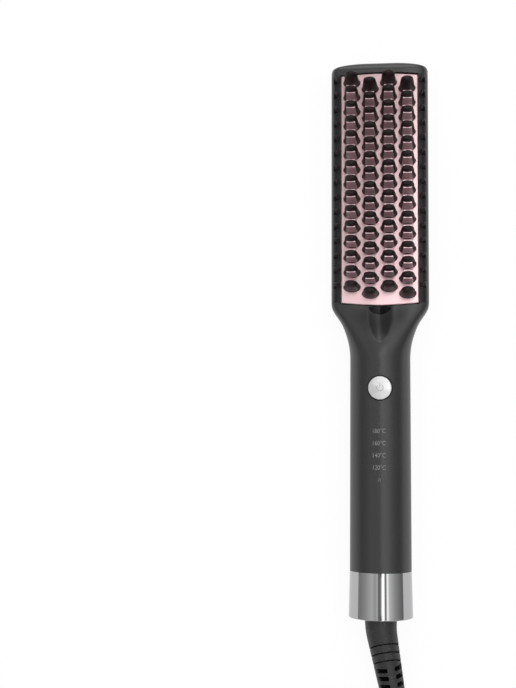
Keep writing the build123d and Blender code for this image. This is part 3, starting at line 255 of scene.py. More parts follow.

# each finish: colour, its mottled partner and the colour along sharp edges (wear, and on the rail a painted
# highlight), roughness and its swing, grain and mottle per metre, grain depth in mm
finishes = {
    "casing": {
        "colour": (0.009, 0.009, 0.0093), "partner": (0.012, 0.012, 0.0125), "edge": (0.03, 0.03, 0.031),
        "rough": 0.35, "swing": 0.05, "scale": 2600, "mottle": 60, "depth": 0.012, "shine": 0.9},
    "sleeve": {
        "colour": (0.012, 0.0075, 0.008), "partner": (0.018, 0.0105, 0.0112), "edge": (0.04, 0.028, 0.03),
        "rough": 0.48, "swing": 0.05, "scale": 3000, "mottle": 200, "depth": 0.004, "shine": 0.22},
    # the rail's pale edge colour is a painted highlight: the edge mask lights the tips and edges of its guard
    # teeth
    "rail": {
        "colour": (0.0045, 0.0042, 0.0043), "partner": (0.007, 0.0062, 0.0064), "edge": (0.12, 0.115, 0.115),
        "rough": 0.34, "swing": 0.05, "scale": 2600, "mottle": 80, "depth": 0.006, "shine": 0.5},
    "coating": {
        "colour": (0.93, 0.66, 0.69), "partner": (0.9, 0.61, 0.645), "edge": (0.96, 0.84, 0.84),
        "rough": 0.2, "swing": 0.02, "scale": 2400, "mottle": 40, "depth": 0.0004, "metal": 0.45},
    # the teeth: the plate's rose coating painted darker, as painted shade in the sleeves' windows
    "shadedToothCoating": {
        "colour": (0.58, 0.42, 0.45), "partner": (0.42, 0.22, 0.26), "edge": (0.75, 0.55, 0.58),
        "rough": 0.34, "swing": 0.05, "scale": 2400, "mottle": 170, "depth": 0.002, "metal": 0.3},
    "chrome": {
        "colour": (0.56, 0.563, 0.57), "partner": (0.53, 0.533, 0.54), "edge": (0.7, 0.7, 0.7),
        "rough": 0.045, "swing": 0.02, "scale": 700, "mottle": 50, "depth": 0.0002, "metal": 1.0},
    "signGrey": {
        "colour": (0.32, 0.32, 0.325), "partner": (0.25, 0.25, 0.255), "edge": (0.4, 0.4, 0.4),
        "rough": 0.5, "swing": 0.1, "scale": 3000, "mottle": 600, "depth": 0.004},
    "outletGloss": {
        "colour": (0.002, 0.002, 0.0022), "partner": (0.004, 0.004, 0.0042), "edge": (0.03, 0.03, 0.03),
        "rough": 0.24, "swing": 0.05, "scale": 2400, "mottle": 120, "depth": 0.003, "shine": 0.3},
    "amberFilm": {
        "colour": (0.62, 0.3, 0.06), "partner": (0.5, 0.22, 0.04), "edge": (0.75, 0.45, 0.15),
        "rough": 0.25, "swing": 0.1, "scale": 1600, "mottle": 80, "depth": 0.01},
    "rolledMetal": {
        "colour": (0.74, 0.74, 0.75), "partner": (0.64, 0.64, 0.66), "edge": (0.85, 0.85, 0.86),
        "rough": 0.32, "swing": 0.14, "scale": 1800, "mottle": 60, "depth": 0.008, "metal": 1.0},
    "firedStone": {
        "colour": (0.2, 0.19, 0.19), "partner": (0.27, 0.26, 0.25), "edge": (0.36, 0.35, 0.34),
        "rough": 0.7, "swing": 0.12, "scale": 1500, "mottle": 140, "depth": 0.03, "specks": 0.08},
    "pressedMica": {
        "colour": (0.6, 0.54, 0.42), "partner": (0.72, 0.66, 0.52), "edge": (0.8, 0.75, 0.62),
        "rough": 0.45, "swing": 0.18, "scale": 900, "mottle": 90, "depth": 0.02, "specks": 0.16},
    "screwSteel": {
        "colour": (0.5, 0.5, 0.5), "partner": (0.42, 0.42, 0.43), "edge": (0.7, 0.7, 0.7),
        "rough": 0.34, "swing": 0.14, "scale": 2200, "mottle": 200, "depth": 0.01, "metal": 1.0},
    "solderMask": {
        "colour": (0.015, 0.13, 0.055), "partner": (0.02, 0.19, 0.08), "edge": (0.3, 0.34, 0.2),
        "rough": 0.3, "swing": 0.1, "scale": 1200, "mottle": 150, "depth": 0.01, "specks": 0.06},
    "mouldedBlack": {
        "colour": (0.03, 0.03, 0.031), "partner": (0.045, 0.045, 0.046), "edge": (0.1, 0.1, 0.1),
        "rough": 0.4, "swing": 0.12, "scale": 2400, "mottle": 160, "depth": 0.01},
    "frostedLight": {
        "colour": (0.8, 0.84, 0.88), "partner": (0.88, 0.9, 0.92), "edge": (0.95, 0.95, 0.96),
        "rough": 0.4, "swing": 0.1, "scale": 2000, "mottle": 160, "depth": 0.01},
    "turnedBrass": {
        "colour": (0.72, 0.52, 0.22), "partner": (0.6, 0.42, 0.17), "edge": (0.86, 0.7, 0.4),
        "rough": 0.26, "swing": 0.12, "scale": 1400, "mottle": 120, "depth": 0.008, "metal": 1.0},
    "redSilicone": {
        "colour": (0.42, 0.03, 0.025), "partner": (0.52, 0.05, 0.04), "edge": (0.6, 0.1, 0.08),
        "rough": 0.5, "swing": 0.1, "scale": 2600, "mottle": 180, "depth": 0.01},
    "cordRubber": {
        "colour": (0.012, 0.012, 0.0125), "partner": (0.018, 0.018, 0.0185), "edge": (0.05, 0.05, 0.052),
        "rough": 0.46, "swing": 0.1, "scale": 2200, "mottle": 110, "depth": 0.02, "specks": 0.05,
        "shine": 0.6},
    # near-black and nearly unreflecting: painted shade, for the depths of the guard's slots and the gap round
    # the plate
    "paintedShadeBlack": {
        "colour": (0.0015, 0.0015, 0.0016), "partner": (0.003, 0.003, 0.0031), "edge": (0.006, 0.006, 0.006),
        "rough": 0.8, "swing": 0.1, "scale": 2200, "mottle": 110, "depth": 0.004, "shine": 0.1},
    "nickel": {
        "colour": (0.74, 0.72, 0.68), "partner": (0.66, 0.64, 0.6), "edge": (0.85, 0.84, 0.8),
        "rough": 0.2, "swing": 0.1, "scale": 1800, "mottle": 160, "depth": 0.004, "metal": 1.0},
    "legendPrint": {
        "colour": (0.115, 0.115, 0.117), "partner": (0.075, 0.075, 0.077), "edge": (0.4, 0.4, 0.4),
        "rough": 0.5, "swing": 0.1, "scale": 3000, "mottle": 900, "depth": 0.004},
}


def placeGroup(tree, name, inputs=None):
    return addNode(tree, "Group", inputs, node_tree=groups[name])


def mixColours(tree, mask, first, second):
    # first or second is a colour or a socket
    inputs = {"Factor": mask}
    for index, value in ((6, first), (7, second)):
        inputs[index] = value + (1,) if isinstance(value, tuple) else value
    return addNode(tree, "Mix", inputs, data_type="RGBA").outputs[2]


def addBump(tree, height, depth):
    return addNode(tree, "Bump", {"Distance": depth * mm, "Height": height}).outputs["Normal"]


def newMaterial(name):
    material = bpy.data.materials.new(name)
    material.use_nodes = True
    return material, material.node_tree, material.node_tree.nodes["Principled BSDF"]


def makeFinish(name, look):
    material, tree, shader = newMaterial(name)
    grain = placeGroup(tree, "grain", {"Scale": look["scale"], "Mottle Scale": look["mottle"]})
    edge = placeGroup(tree, "edgeWearAndHighlight")
    colour = mixColours(tree, grain.outputs["Mottle"], look["colour"], look["partner"])
    colour = mixColours(tree, edge.outputs["Mask"], colour, look["edge"])
    if "specks" in look:
        specks = placeGroup(tree, "specks", {"Share": look["specks"]})
        light = tuple(min(1.0, relief["speckGain"] * part + relief["speckLift"]) for part in look["colour"])
        colour = mixColours(tree, specks.outputs["Mask"], colour, light)
    low, swing = look["rough"] - look["swing"], 2 * look["swing"]
    setInputs(tree, shader, {
        "Base Color": colour,
        "Roughness": addMath(tree, "MULTIPLY_ADD", grain.outputs["Grain"], swing, low),
        "Metallic": look.get("metal", 0.0),
        "Specular IOR Level": look.get("shine", 0.5),
        "Normal": addBump(tree, grain.outputs["Height"], look["depth"]),
    })
    return material


# the tie's weave, measured as the finishes are
weave = {
    "scale": 420, "distortion": 0.6, "grain": 2000, "mottle": 120, "depth": 0.15,
    # low and high: colours of the weave's dips and crossings, as painted shade and painted highlight
    "low": (0.012, 0.012, 0.013), "high": (0.05, 0.05, 0.052), "rough": 0.65, "swing": 0.2, "sheen": 0.3,
}


def makeStrapWeave():
    # plain weave of the tie: two crossing waves, whose height also sets the colour: painted shade in the dips
    # and a painted highlight on the crossings
    material, tree, shader = newMaterial("strapWeave")
    inputs = {"Vector": addNode(tree, "TexCoord").outputs["Object"],
              "Scale": weave["scale"], "Distortion": weave["distortion"]}
    waves = [addNode(tree, "TexWave", inputs, bands_direction=way).outputs["Fac"] for way in ("X", "Y")]
    height = addMath(tree, "MULTIPLY", *waves)
    grain = placeGroup(tree, "grain", {"Scale": weave["grain"], "Mottle Scale": weave["mottle"]})
    setInputs(tree, shader, {
        "Base Color": mixColours(tree, height, weave["low"], weave["high"]),
        "Roughness": addMath(tree, "MULTIPLY_ADD", grain.outputs["Grain"], weave["swing"], weave["rough"]),
        "Sheen Weight": weave["sheen"],
        "Normal": addBump(tree, height, weave["depth"]),
    })
    return material


materials = {name: makeFinish(name, look) for name, look in finishes.items()}
materials["strapWeave"] = makeStrapWeave()

nodeFinish = {
    "casing": ("rear_housing", "front_housing", "end_cap", "tail_bush", "power_button"),
    "rail": ("right_comb_rail", "left_comb_rail"),
    "sleeve": ("bristle_sleeves_1", "bristle_sleeves_2", "bristle_sleeves_3", "bristle_sleeves_4",
               "end_row_sleeves"),
    "coating": ("heating_plate",),
    "shadedToothCoating": ("heat_teeth",),
    "chrome": ("chrome_ring",),
    "outletGloss": ("outlet_insert",),
    "amberFilm": ("insulation_film_upper", "insulation_film_lower", "film_capacitor"),
    "rolledMetal": ("electrode_upper", "electrode_lower", "clamp_plate", "thermal_fuse"),
    "firedStone": ("ptc_stones",),
    "pressedMica": ("heat_shield",),
    "screwSteel": ("clamp_screws", "board_screws", "housing_screws"),
    "solderMask": ("control_board",),
    "mouldedBlack": ("ion_emitter", "thermistor", "tact_switch", "switch_plunger", "controller_chip", "triac",
                     "swivel_collar", "contact_block"),
    "frostedLight": ("indicator_lights", "light_guide"),
    "turnedBrass": ("slip_rings", "contact_brushes"),
    "redSilicone": ("supply_leads", "heater_leads", "sensor_leads"),
    "cordRubber": ("cord_core", "cord_guard", "power_cord", "cord_tail", "cord_hank", "plug_body"),
    "strapWeave": ("cord_tie",),
    "nickel": ("plug_pins",),
}


def dress(thing, finish):
    thing.data.materials.clear()
    thing.data.materials.append(materials[finish])


for finish, names in nodeFinish.items():
    for name in names:
        dress(nodes[name], finish)
print("finishes made:", len(materials))


# shared mesh helpers
def addPiece(name, mesh, body, finish, sharp=32):
    mesh.shade_smooth()
    mesh.set_sharp_from_angle(angle=radians(sharp))
    piece = newObject(name, mesh)
    dress(piece, finish)
    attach(piece, body)
    return piece


def meshFrom(name, points, faces):
    # points in millimetres
    mesh = bpy.data.meshes.new(name)
    mesh.from_pydata([Vector(point) * mm for point in points], [], faces)
    work = bmesh.new()
    work.from_mesh(mesh)
    bmesh.ops.recalc_face_normals(work, faces=work.faces)
    work.to_mesh(mesh)
    work.free()
    return mesh


def bandFaces(low, high, around):
    # quads between two rings, each given by the index of its first point
    return [(low + k, low + (k + 1) % around, high + (k + 1) % around, high + k) for k in range(around)]


def stackFaces(levels, around, start=0):
    # bands between rings that lie one after the other
    faces = []
    for low in range(start, start + (levels - 1) * around, around):
        faces += bandFaces(low, low + around, around)
    return faces


def ringFaces(levels, around, start=0):
    # the bands of a stack of rings, and a flat face at each end
    ends = [[start + level * around + k for k in range(around)] for level in (0, levels - 1)]
    return stackFaces(levels, around, start) + ends


def tubeFaces(levels, around):
    # the bands of a stack of rings whose last one joins the first
    return stackFaces(levels, around) + bandFaces((levels - 1) * around, 0, around)


def shellFaces(rows, columns):
    # outer grid, inner grid behind it and the rim that joins them
    faces = []
    inner = rows * columns
    for r in range(rows - 1):
        for c in range(columns - 1):
            a = r * columns + c
            quad = (a, a + 1, a + columns + 1, a + columns)
            faces += [quad, tuple(inner + k for k in reversed(quad))]
    rim = [(0, c) for c in range(columns)] + [(r, columns - 1) for r in range(1, rows)]
    rim += [(rows - 1, c) for c in range(columns - 2, -1, -1)] + [(r, 0) for r in range(rows - 2, 0, -1)]
    for k, (r, c) in enumerate(rim):
        nextR, nextC = rim[(k + 1) % len(rim)]
        a, b = r * columns + c, nextR * columns + nextC
        faces.append((a, b, inner + b, inner + a))
    return faces


def prismMesh(name, outline, bottom, top):
    points = [(x, y, bottom) for x, y in outline] + [(x, y, top) for x, y in outline]
    return meshFrom(name, points, ringFaces(2, len(outline)))


def discOutline(x, y, radius, steps=48):
    return [(x + radius * cos(2 * pi * k / steps), y + radius * sin(2 * pi * k / steps)) for k in range(steps)]


def cutAway(mesh, cutters):
    holder = newObject("cutHolder", mesh)
    tools = []
    for cutter in cutters:
        tool = newObject("cutTool", cutter)
        cut = holder.modifiers.new("cut", "BOOLEAN")
        cut.operation, cut.solver, cut.object = "DIFFERENCE", "EXACT", tool
        tools.append(tool)
    bpy.context.view_layer.update()
    result = bpy.data.meshes.new_from_object(holder.evaluated_get(bpy.context.evaluated_depsgraph_get()))
    for thing in (holder, *tools):
        bpy.data.objects.remove(thing)
    return result


def smooth(share):
    return share * share * (3 - 2 * share)


# casing: round at the handle, flaring smoothly to the squarer head
casing = {
    "axisZ": 15.95,
    "rearRadius": 15.35,
    "frontRadius": 15.1,
    "ringSeamY": -117.0,
    "neckY": -12.0,
    "headSeamY": 16.3,
    "capSeamY": 133.2,
    "halfHead": 24.6,
    "rimZ": 23.6,
    "girthZ": 12.0,
    "topPower": 5.5,
    "backPower": 3.0,
    "backDip": 0.3,
    "wall": 2.4,
    "seamGap": 0.06,
    "around": 128,
    # distance between stations: just past the ring, along the handle, at the neck and along the head
    "ringStep": 0.3,
    "handleStep": 4,
    "neckStep": 0.45,
    "headStep": 8,
    # how far the width has grown from the handle's to the head's, along the neck
    "flare": ((0, 0), (0.1, 0.01), (0.187, 0.035), (0.297, 0.09), (0.403, 0.175), (0.512, 0.284),
              (0.622, 0.42), (0.73, 0.606), (0.839, 0.83), (0.93, 0.965), (1, 1)),
    "scoopTip": -4.2,
    "scoopLength": 14.5,
    "scoopHalfWidth": 6.5,
    "scoopDepth": 1.8,
    "scoopTaper": 0.6,
    "scoopPower": 1.5,
    "buttonY": -26.7,
    "buttonHole": 6.35,
    "buttonSteps": 96,
    "screws": ((0, -108), (-9, 0), (9, 0)),
    "screwHole": 2.85,
    # radius and level round the sleeve of a sunk screw; None is just inside the back
    "boss": ((2.85, None), (2.85, 6.5), (1.6, 6.5), (1.6, 15.7), (3.7, 15.7), (3.7, None)),
    "bossInset": 0.6,
    # bottom and top of what cuts each opening
    "cuts": {"plate": (15.6, 40), "outlet": (14, 40), "button": (20, 40), "screw": (-5, 10)},
}
outlet = {"halfWidth": 5.8, "topY": 14.9, "height": 4.5, "bow": 3.6, "roundness": 0.62, "fit": 0.05,
          "sunk": 0.75, "thickness": 1.2, "rings": 9, "reach": 0.97}
plate = {"halfWidth": 19.4, "lowY": 15.3, "tipY": 134.2, "bow": 1.1, "gap": 0.62}
# painted shade in the gap round the plate: a near-black band, its inner and outer spread and its levels in mm
gapShade = {"inner": 0.03, "outer": 0.6, "bottomZ": 19.62, "topZ": 21.2}


def between(table, x):
    # smooth curve through the table's points that never swings past them
    steps = [(b[1] - a[1]) / (b[0] - a[0]) for a, b in zip(table, table[1:])]
    slopes = [0.0] + [2 * a * b / (a + b) if a * b > 0 else 0.0 for a, b in zip(steps, steps[1:])] + [0.0]
    for k, (a, b) in enumerate(zip(table, table[1:])):
        if x <= b[0]:
            width = b[0] - a[0]
            t = max(0.0, (x - a[0]) / width)
            lead = t * (1 - t) * ((1 - t) * slopes[k] - t * slopes[k + 1]) * width
            return a[1] + (b[1] - a[1]) * smooth(t) + lead
    return table[-1][1]


def casingSection(y, inset=0):
    # half width, bottom, top, widest height and the two roundness powers at a station
    axis, radius = casing["axisZ"], casing["frontRadius"]
    if y <= casing["neckY"]:
        share = (casing["neckY"] - y) / (casing["neckY"] - casing["ringSeamY"])
        radius += (casing["rearRadius"] - radius) * share
        return radius - inset, axis - radius + inset, axis + radius - inset, axis, 2, 2
    share = min(1, (y - casing["neckY"]) / (casing["headSeamY"] - casing["neckY"]))
    blend = smooth(share)
    half = radius + (casing["halfHead"] - radius) * between(casing["flare"], share)
    top = axis + radius + (casing["rimZ"] - axis - radius) * blend
    bottom = (axis - radius) * (1 - blend) - casing["backDip"] * blend
    girth = axis + (casing["girthZ"] - axis) * blend
    powers = (2 + (casing[key] - 2) * blend for key in ("topPower", "backPower"))
    return half - inset, bottom + inset, top - inset, girth, *powers


def casingPoint(y, angle, inset):
    half, bottom, top, girth, topPower, backPower = casingSection(y, inset)
    height, power = (top - girth, topPower) if sin(angle) >= 0 else (girth - bottom, backPower)
    reach = (abs(cos(angle) / half) ** power + abs(sin(angle) / height) ** power) ** (-1 / power)
    return reach * cos(angle), max(girth + reach * sin(angle), inset)


def casingHeight(x, y, upper):
    # level of the outer surface over a point
    half, bottom, top, girth, topPower, backPower = casingSection(y)
    height, power = (top - girth, topPower) if upper else (bottom - girth, backPower)
    return girth + height * max(0, 1 - abs(x / half) ** power) ** (1 / power)


def seamAngle(y, inset, z):
    # where the outline of a station crosses the level of the seam
    half, bottom, top, girth, topPower, backPower = casingSection(y, inset)
    rise = z - girth
    height, power = (top - girth, topPower) if rise >= 0 else (girth - bottom, backPower)
    across = half * (1 - min(1, abs(rise) / height) ** power) ** (1 / power)
    return atan2(rise, across)


def scoopDrop(x, y):
    share = (y - casing["scoopTip"]) / casing["scoopLength"]
    if share <= 0:
        return 0.0
    swell = 1 - (1 - min(1, share)) ** 2
    half = casing["scoopHalfWidth"] * swell ** casing["scoopTaper"]
    if abs(x) >= half:
        return 0.0
    return casing["scoopDepth"] * swell * (1 - (x / half) ** 2) ** casing["scoopPower"]


def casingStations(endY):
    stations = [casing["ringSeamY"], casing["ringSeamY"] + casing["ringStep"]]
    for end, step in ((casing["neckY"], casing["handleStep"]), (casing["headSeamY"], casing["neckStep"])):
        while stations[-1] < end - step:
            stations.append(stations[-1] + step)
    stations.append(casing["headSeamY"])
    while stations[-1] < endY:
        stations.append(min(endY, stations[-1] + casing["headStep"]))
    return stations


def casingShell(name, endY, seamZ, upper):
    around = casing["around"]
    stations = casingStations(endY)
    points = []
    for inset in (0, casing["wall"]):
        for y in stations:
            start = seamAngle(y, inset, seamZ)
            sweep = pi - 2 * start if upper else -(pi + 2 * start)
            for k in range(around + 1):
                x, z = casingPoint(y, start + sweep * k / around, inset)
                if upper:
                    z -= scoopDrop(x, y)
                points.append((x, y, z))
    return meshFrom(name, points, shellFaces(len(stations), around + 1))


def plateOutline(spread, steps=16):
    # outline of the plate and a margin: straight sides, both ends bulging
    half, lowY, tipY = plate["halfWidth"] + spread, plate["lowY"] - spread, plate["tipY"] + spread
    outline = []
    for k in range(steps + 1):
        x = half - 2 * half * k / steps
        outline.append((x, tipY - plate["bow"] * (x / half) ** 2))
    for k in range(steps + 1):
        x = -half + 2 * half * k / steps
        outline.append((x, lowY + plate["bow"] * (x / half) ** 2))
    return outline


def halfMoon(shrink, steps=24):
    # nearly straight beside the plate, round towards the handle
    half, topY = outlet["halfWidth"] - shrink, outlet["topY"] - shrink
    sideY = topY - (outlet["height"] - outlet["bow"])
    outline = []
    for k in range(steps + 1):
        x = half - 2 * half * k / steps
        outline.append((x, sideY + (topY - sideY) * (1 - (x / half) ** 2)))
    for k in range(1, steps):
        x = -half + 2 * half * k / steps
        outline.append((x, sideY - (outlet["bow"] - shrink) * (1 - (x / half) ** 2) ** outlet["roundness"]))
    return outline


def makeCasing():
    cuts = casing["cuts"]
    buttonHole = discOutline(0, casing["buttonY"], casing["buttonHole"], casing["buttonSteps"])
    upper = casingShell("frontCasing", casing["headSeamY"], casing["axisZ"] + casing["seamGap"], True)
    upper = cutAway(upper, [
        prismMesh("plateHole", plateOutline(plate["gap"]), *cuts["plate"]),
        prismMesh("outletHole", halfMoon(0), *cuts["outlet"]),
        prismMesh("buttonHole", buttonHole, *cuts["button"]),
    ])
    front = addPiece("casing_front", upper, "brush", "casing")
    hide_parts("front_housing")
    lower = casingShell("rearCasing", casing["capSeamY"], casing["axisZ"] - casing["seamGap"], False)
    holes = [prismMesh("screwHole", discOutline(x, y, casing["screwHole"]), *cuts["screw"])
             for x, y in casing["screws"]]
    rear = addPiece("casing_rear", cutAway(lower, holes), "brush", "casing")
    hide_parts("rear_housing")


def makeBosses():
    # sleeves of the sunk screws, from inside the back up to the seam
    for index, (x, y) in enumerate(casing["screws"]):
        points, rings = [], []
        for radius, level in casing["boss"]:
            rings.append(discOutline(x, y, radius))
            for px, py in rings[-1]:
                z = casingHeight(px, py, False) + casing["bossInset"] if level is None else level
                points.append((px, py, z))
        boss = meshFrom(f"screwBoss{index}", points, tubeFaces(len(rings), len(rings[0])))
        addPiece(f"screw_boss_{index + 1}", boss, "brush", "casing")


def makeGapShade():
    # near-black band in the gap round the plate: painted shade standing in for the shadow in the gap
    inner, outer, bottomZ, topZ = (gapShade[key] for key in ("inner", "outer", "bottomZ", "topZ"))
    points = []
    for spread, z in ((inner, bottomZ), (inner, topZ), (outer, topZ), (outer, bottomZ)):
        points += [(x, y, z) for x, y in plateOutline(spread)]
    mesh = meshFrom("plateGapShade", points, tubeFaces(4, len(points) // 4))
    addPiece("plate_gap_shade", mesh, "brush", "paintedShadeBlack")


def makeOutlet():
    # glossy insert, sunk a little under the scoop's floor in the half-moon opening
    outline, rings = halfMoon(outlet["fit"]), outlet["rings"]
    middleY = outlet["topY"] - outlet["height"] / 2
    around = len(outline)
    points, faces = [], bandFaces(0, rings * around, around)
    for under in (0, 1):
        start = len(points)
        for ring in range(rings):
            share = 1 - outlet["reach"] * ring / (rings - 1)
            for x, y in outline:
                px, py = x * share, middleY + (y - middleY) * share
                z = casingHeight(px, py, True) - scoopDrop(px, py) - outlet["sunk"]
                points.append((px, py, z - under * outlet["thickness"]))
        faces += stackFaces(rings, around, start)
        faces.append([start + (rings - 1) * around + k for k in range(around)])
    mesh = meshFrom("outletCrown", points, faces)
    piece = addPiece("outlet_crown", mesh, "brush", "outletGloss")
    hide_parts("outlet_insert")


makeCasing()
makeBosses()
makeGapShade()
makeOutlet()
print("casing and outlet made")


# bristles: flared black sleeves, with the coated tooth standing proud in the windows of all but the end rows
bristles = {
    "firstRowY": 129.4,
    "rows": 15,
    "columns": 4,
    "rowPitch": 7.5,
    "columnPitch": 9.3,
    "stagger": 3.3,
    "plateZ": 21.6,
    "around": 28,
    # height, half width, half depth and roundness power of each level
    "levels": ((0, 4.34, 2.6, 2), (0.35, 4.4, 2.66, 2), (0.75, 4.32, 2.62, 2), (1.1, 4.12, 2.46, 2.1),
               (1.8, 3.95, 2.34, 2.3), (3, 3.8, 2.25, 2.6), (6, 3.6, 2.14, 2.9), (10, 3.38, 2.0, 2.9),
               (14, 3.14, 1.82, 2.7), (15.8, 3.0, 1.7, 2.5), (17.1, 2.74, 1.5, 2.3), (18.1, 2.26, 1.2, 2.1),
               (18.7, 1.6, 0.84, 2), (18.95, 1.0, 0.52, 2), (19.0, 0.3, 0.18, 2)),
    # window panel: height, half width, how far its face stands from the middle
    "panel": ((2.1, 2.6, 2.42), (2.5, 2.66, 2.44), (15.3, 2.14, 2.04), (15.65, 2.04, 1.96)),
    "panelSunk": 1.2,
    "panelBevel": (0.14, 0.12),
}


def bristlePlace(column, row):
    x = (column - (bristles["columns"] - 1) / 2) * bristles["columnPitch"]
    y = bristles["firstRowY"] - row * bristles["rowPitch"] - bristles["stagger"] * (column % 2)
    return x, y


def sleeveMesh(name, places):
    points, faces = [], []
    around, levels = bristles["around"], bristles["levels"]
    for x, y in places:
        start = len(points)
        for height, halfWidth, halfDepth, power in levels:
            for k in range(around):
                angle = 2 * pi * (k + 0.5) / around
                reach = (abs(cos(angle)) ** power + abs(sin(angle)) ** power) ** (-1 / power)
                points.append((x + halfWidth * reach * cos(angle), y + halfDepth * reach * sin(angle),
                               bristles["plateZ"] + height))
        faces += ringFaces(len(levels), around, start)
    return meshFrom(name, points, faces)


def toothMesh(name, places):
    # a thin tapered panel on both faces, in a darker copy of the plate's coating as painted shade, with its
    # top ledge in the plate's own coating as a painted highlight
    points, faces, ledges = [], [], []
    sunk, (side, front) = bristles["panelSunk"], bristles["panelBevel"]
    for x, y in places:
        for facing in (-1, 1):
            start = len(points)
            for height, half, face in bristles["panel"]:
                across = (-half, -half, -half + side, half - side, half, half)
                depths = (face - sunk, face - front, face, face, face - front, face - sunk)
                points += [(x + px, y + facing * depth, bristles["plateZ"] + height)
                           for px, depth in zip(across, depths)]
            faces += ringFaces(len(bristles["panel"]), 6, start)
            ledges.append(len(faces) - 1)
    mesh = meshFrom(name, points, faces)
    mesh.materials.append(materials["shadedToothCoating"])
    mesh.materials.append(materials["coating"])
    # the ledges take the plate's lighter coating: a painted highlight along the top of each panel
    for index in ledges:
        mesh.polygons[index].material_index = 1
    return mesh


def makeBristles():
    rows, columns = bristles["rows"], bristles["columns"]
    ends = [bristlePlace(column, row) for column in range(columns) for row in (0, rows - 1)]
    piece = addPiece("sleeves_end_rows", sleeveMesh("endSleeves", ends), "brush", "sleeve")
    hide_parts("end_row_sleeves")
    windows = []
    for column in range(columns):
        places = [bristlePlace(column, row) for row in range(1, rows - 1)]
        windows += places
        mesh = sleeveMesh(f"sleeves{column}", places)
        piece = addPiece(f"sleeves_column_{column + 1}", mesh, "brush", "sleeve")
        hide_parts(f"bristle_sleeves_{column + 1}")
    piece = newObject("tooth_panels", toothMesh("toothPanels", windows))
    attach(piece, "brush")
    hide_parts("heat_teeth")


makeBristles()
print("bristles made")


# cord: out through the guard, along the surface to the hank, six turns, then up to the plug
cord = {
    "diameter": 6.8,
    "length": 1.84,
    "exit": (0, -139.7, 15.95),
    "guardRoute": ((0, -139.7, 15.95), (0, -146, 15.95), (7.9, -190, 9.2)),
    "freeRoute": ((10.8, -206, 6.8), (14.8, -222, 4.6), (18.6, -237, 3.6), (20.9, -252, 3.4)),
    "tailRoute": ((-25.9, -312, 18.2), (-22, -298, 22.2), (-13.4, -285, 25.8), (-7.9, -272.5, 27.05),
                  (-6, -257, 27.25)),
    "hankSide": -6.0,
    "nearFold": -248.0,
    "straight": 77.0,
    "foldRadius": 20.4,
    # column and layer of each turn
    "turns": ((1, 0), (0, 0), (0, 1), (1, 1), (1, 2), (0, 2)),
    "foldSteps": 8,
    "foldBulge": 2.6,
    # where the route's points lie on a straight: going out, coming back and on the last way back
    "outShares": (0.25, 0.55, 0.85),
    "backShares": (0.15, 0.45, 0.8),
    "lastShares": (0.1, 0.18),
}

# cord guard: smooth root, full grooves, then paired side slots beside a spine
guard = {
    "rootRadius": 8.05,
    "endRadius": 5.6,
    "endRounding": 0.8,
    "bendRadius": 30.0,
    "firstGroove": 15.6,
    "pitch": 4.1,
    "count": 9,
    "fullCount": 3,
    "grooveWidth": 0.7,
    "slotWidth": 2.3,
    "grooveDepth": 1.0,
    "slotDepth": 2.9,
    "wallWidth": 0.22,
    "rake": 0.5,
    "spineTurn": 13.5,
    "spineHalfWidth": 1.8,
    "slotReach": 0.96,
    "slotShift": 2.5,
    "slotEase": 0.5,
    "stepLength": 0.16,
    "around": 180,
}


def guardLine():
    # two straight runs joined by an arc, as distances along with a place and a direction
    a, b, c = (Vector(place) for place in cord["guardRoute"])
    first, second = (b - a).normalized(), (c - b).normalized()
    bend, turn = guard["bendRadius"], first.angle(second)
    cut = bend * sin(turn / 2) / cos(turn / 2)
    startArc, endArc = b - first * cut, b + second * cut
    side = (second - first * first.dot(second)).normalized()
    centre = startArc + side * bend
    lengths = [(startArc - a).length, bend * turn, (c - endArc).length]
    total = sum(lengths)
    count = int(total / guard["stepLength"])
    line = []
    for k in range(count + 1):
        s = total * k / count
        if s <= lengths[0]:
            line.append((s, a + first * s, first))
        elif s <= lengths[0] + lengths[1]:
            angle = (s - lengths[0]) / bend
            place = centre - side * bend * cos(angle) + first * bend * sin(angle)
            line.append((s, place, first * cos(angle) + side * sin(angle)))
        else:
            line.append((s, endArc + second * (s - lengths[0] - lengths[1]), second))
    return total, line


def trough(distance, width):
    # 1 in the groove, falling to 0 over its steep walls
    edge = guard["wallWidth"]
    return 1 - smooth(min(1, max(0, (abs(distance) - width / 2 + edge) / edge)))


def guardRadius(s, total):
    # tapered, with a rounded end
    radius = guard["rootRadius"] + (guard["endRadius"] - guard["rootRadius"]) * s / total
    rounding, left = guard["endRounding"], total - s
    if left < rounding:
        radius -= rounding - sqrt(max(0, rounding ** 2 - (rounding - left) ** 2))
    return radius


def guardDrop(s, radius, angle):
    # depth of the groove or slot under a point of the guard's surface
    drop = 0.0
    for groove in range(guard["count"]):
        distance = s - guard["firstGroove"] - groove * guard["pitch"]
        if groove < guard["fullCount"]:
            distance += guard["rake"] * radius * sin(angle)
            drop = max(drop, trough(distance, guard["grooveWidth"]) * guard["grooveDepth"])
        else:
            aside = abs(radius * cos(angle + radians(guard["spineTurn"])))
            away = min(aside - guard["spineHalfWidth"], guard["slotReach"] * radius - aside)
            opened = smooth(min(1, max(0, away / guard["slotEase"])))
            width = guard["slotWidth"] * (0.5 + 0.5 * opened)
            drop = max(drop, trough(distance + guard["slotShift"], width) * opened * guard["slotDepth"])
    return drop


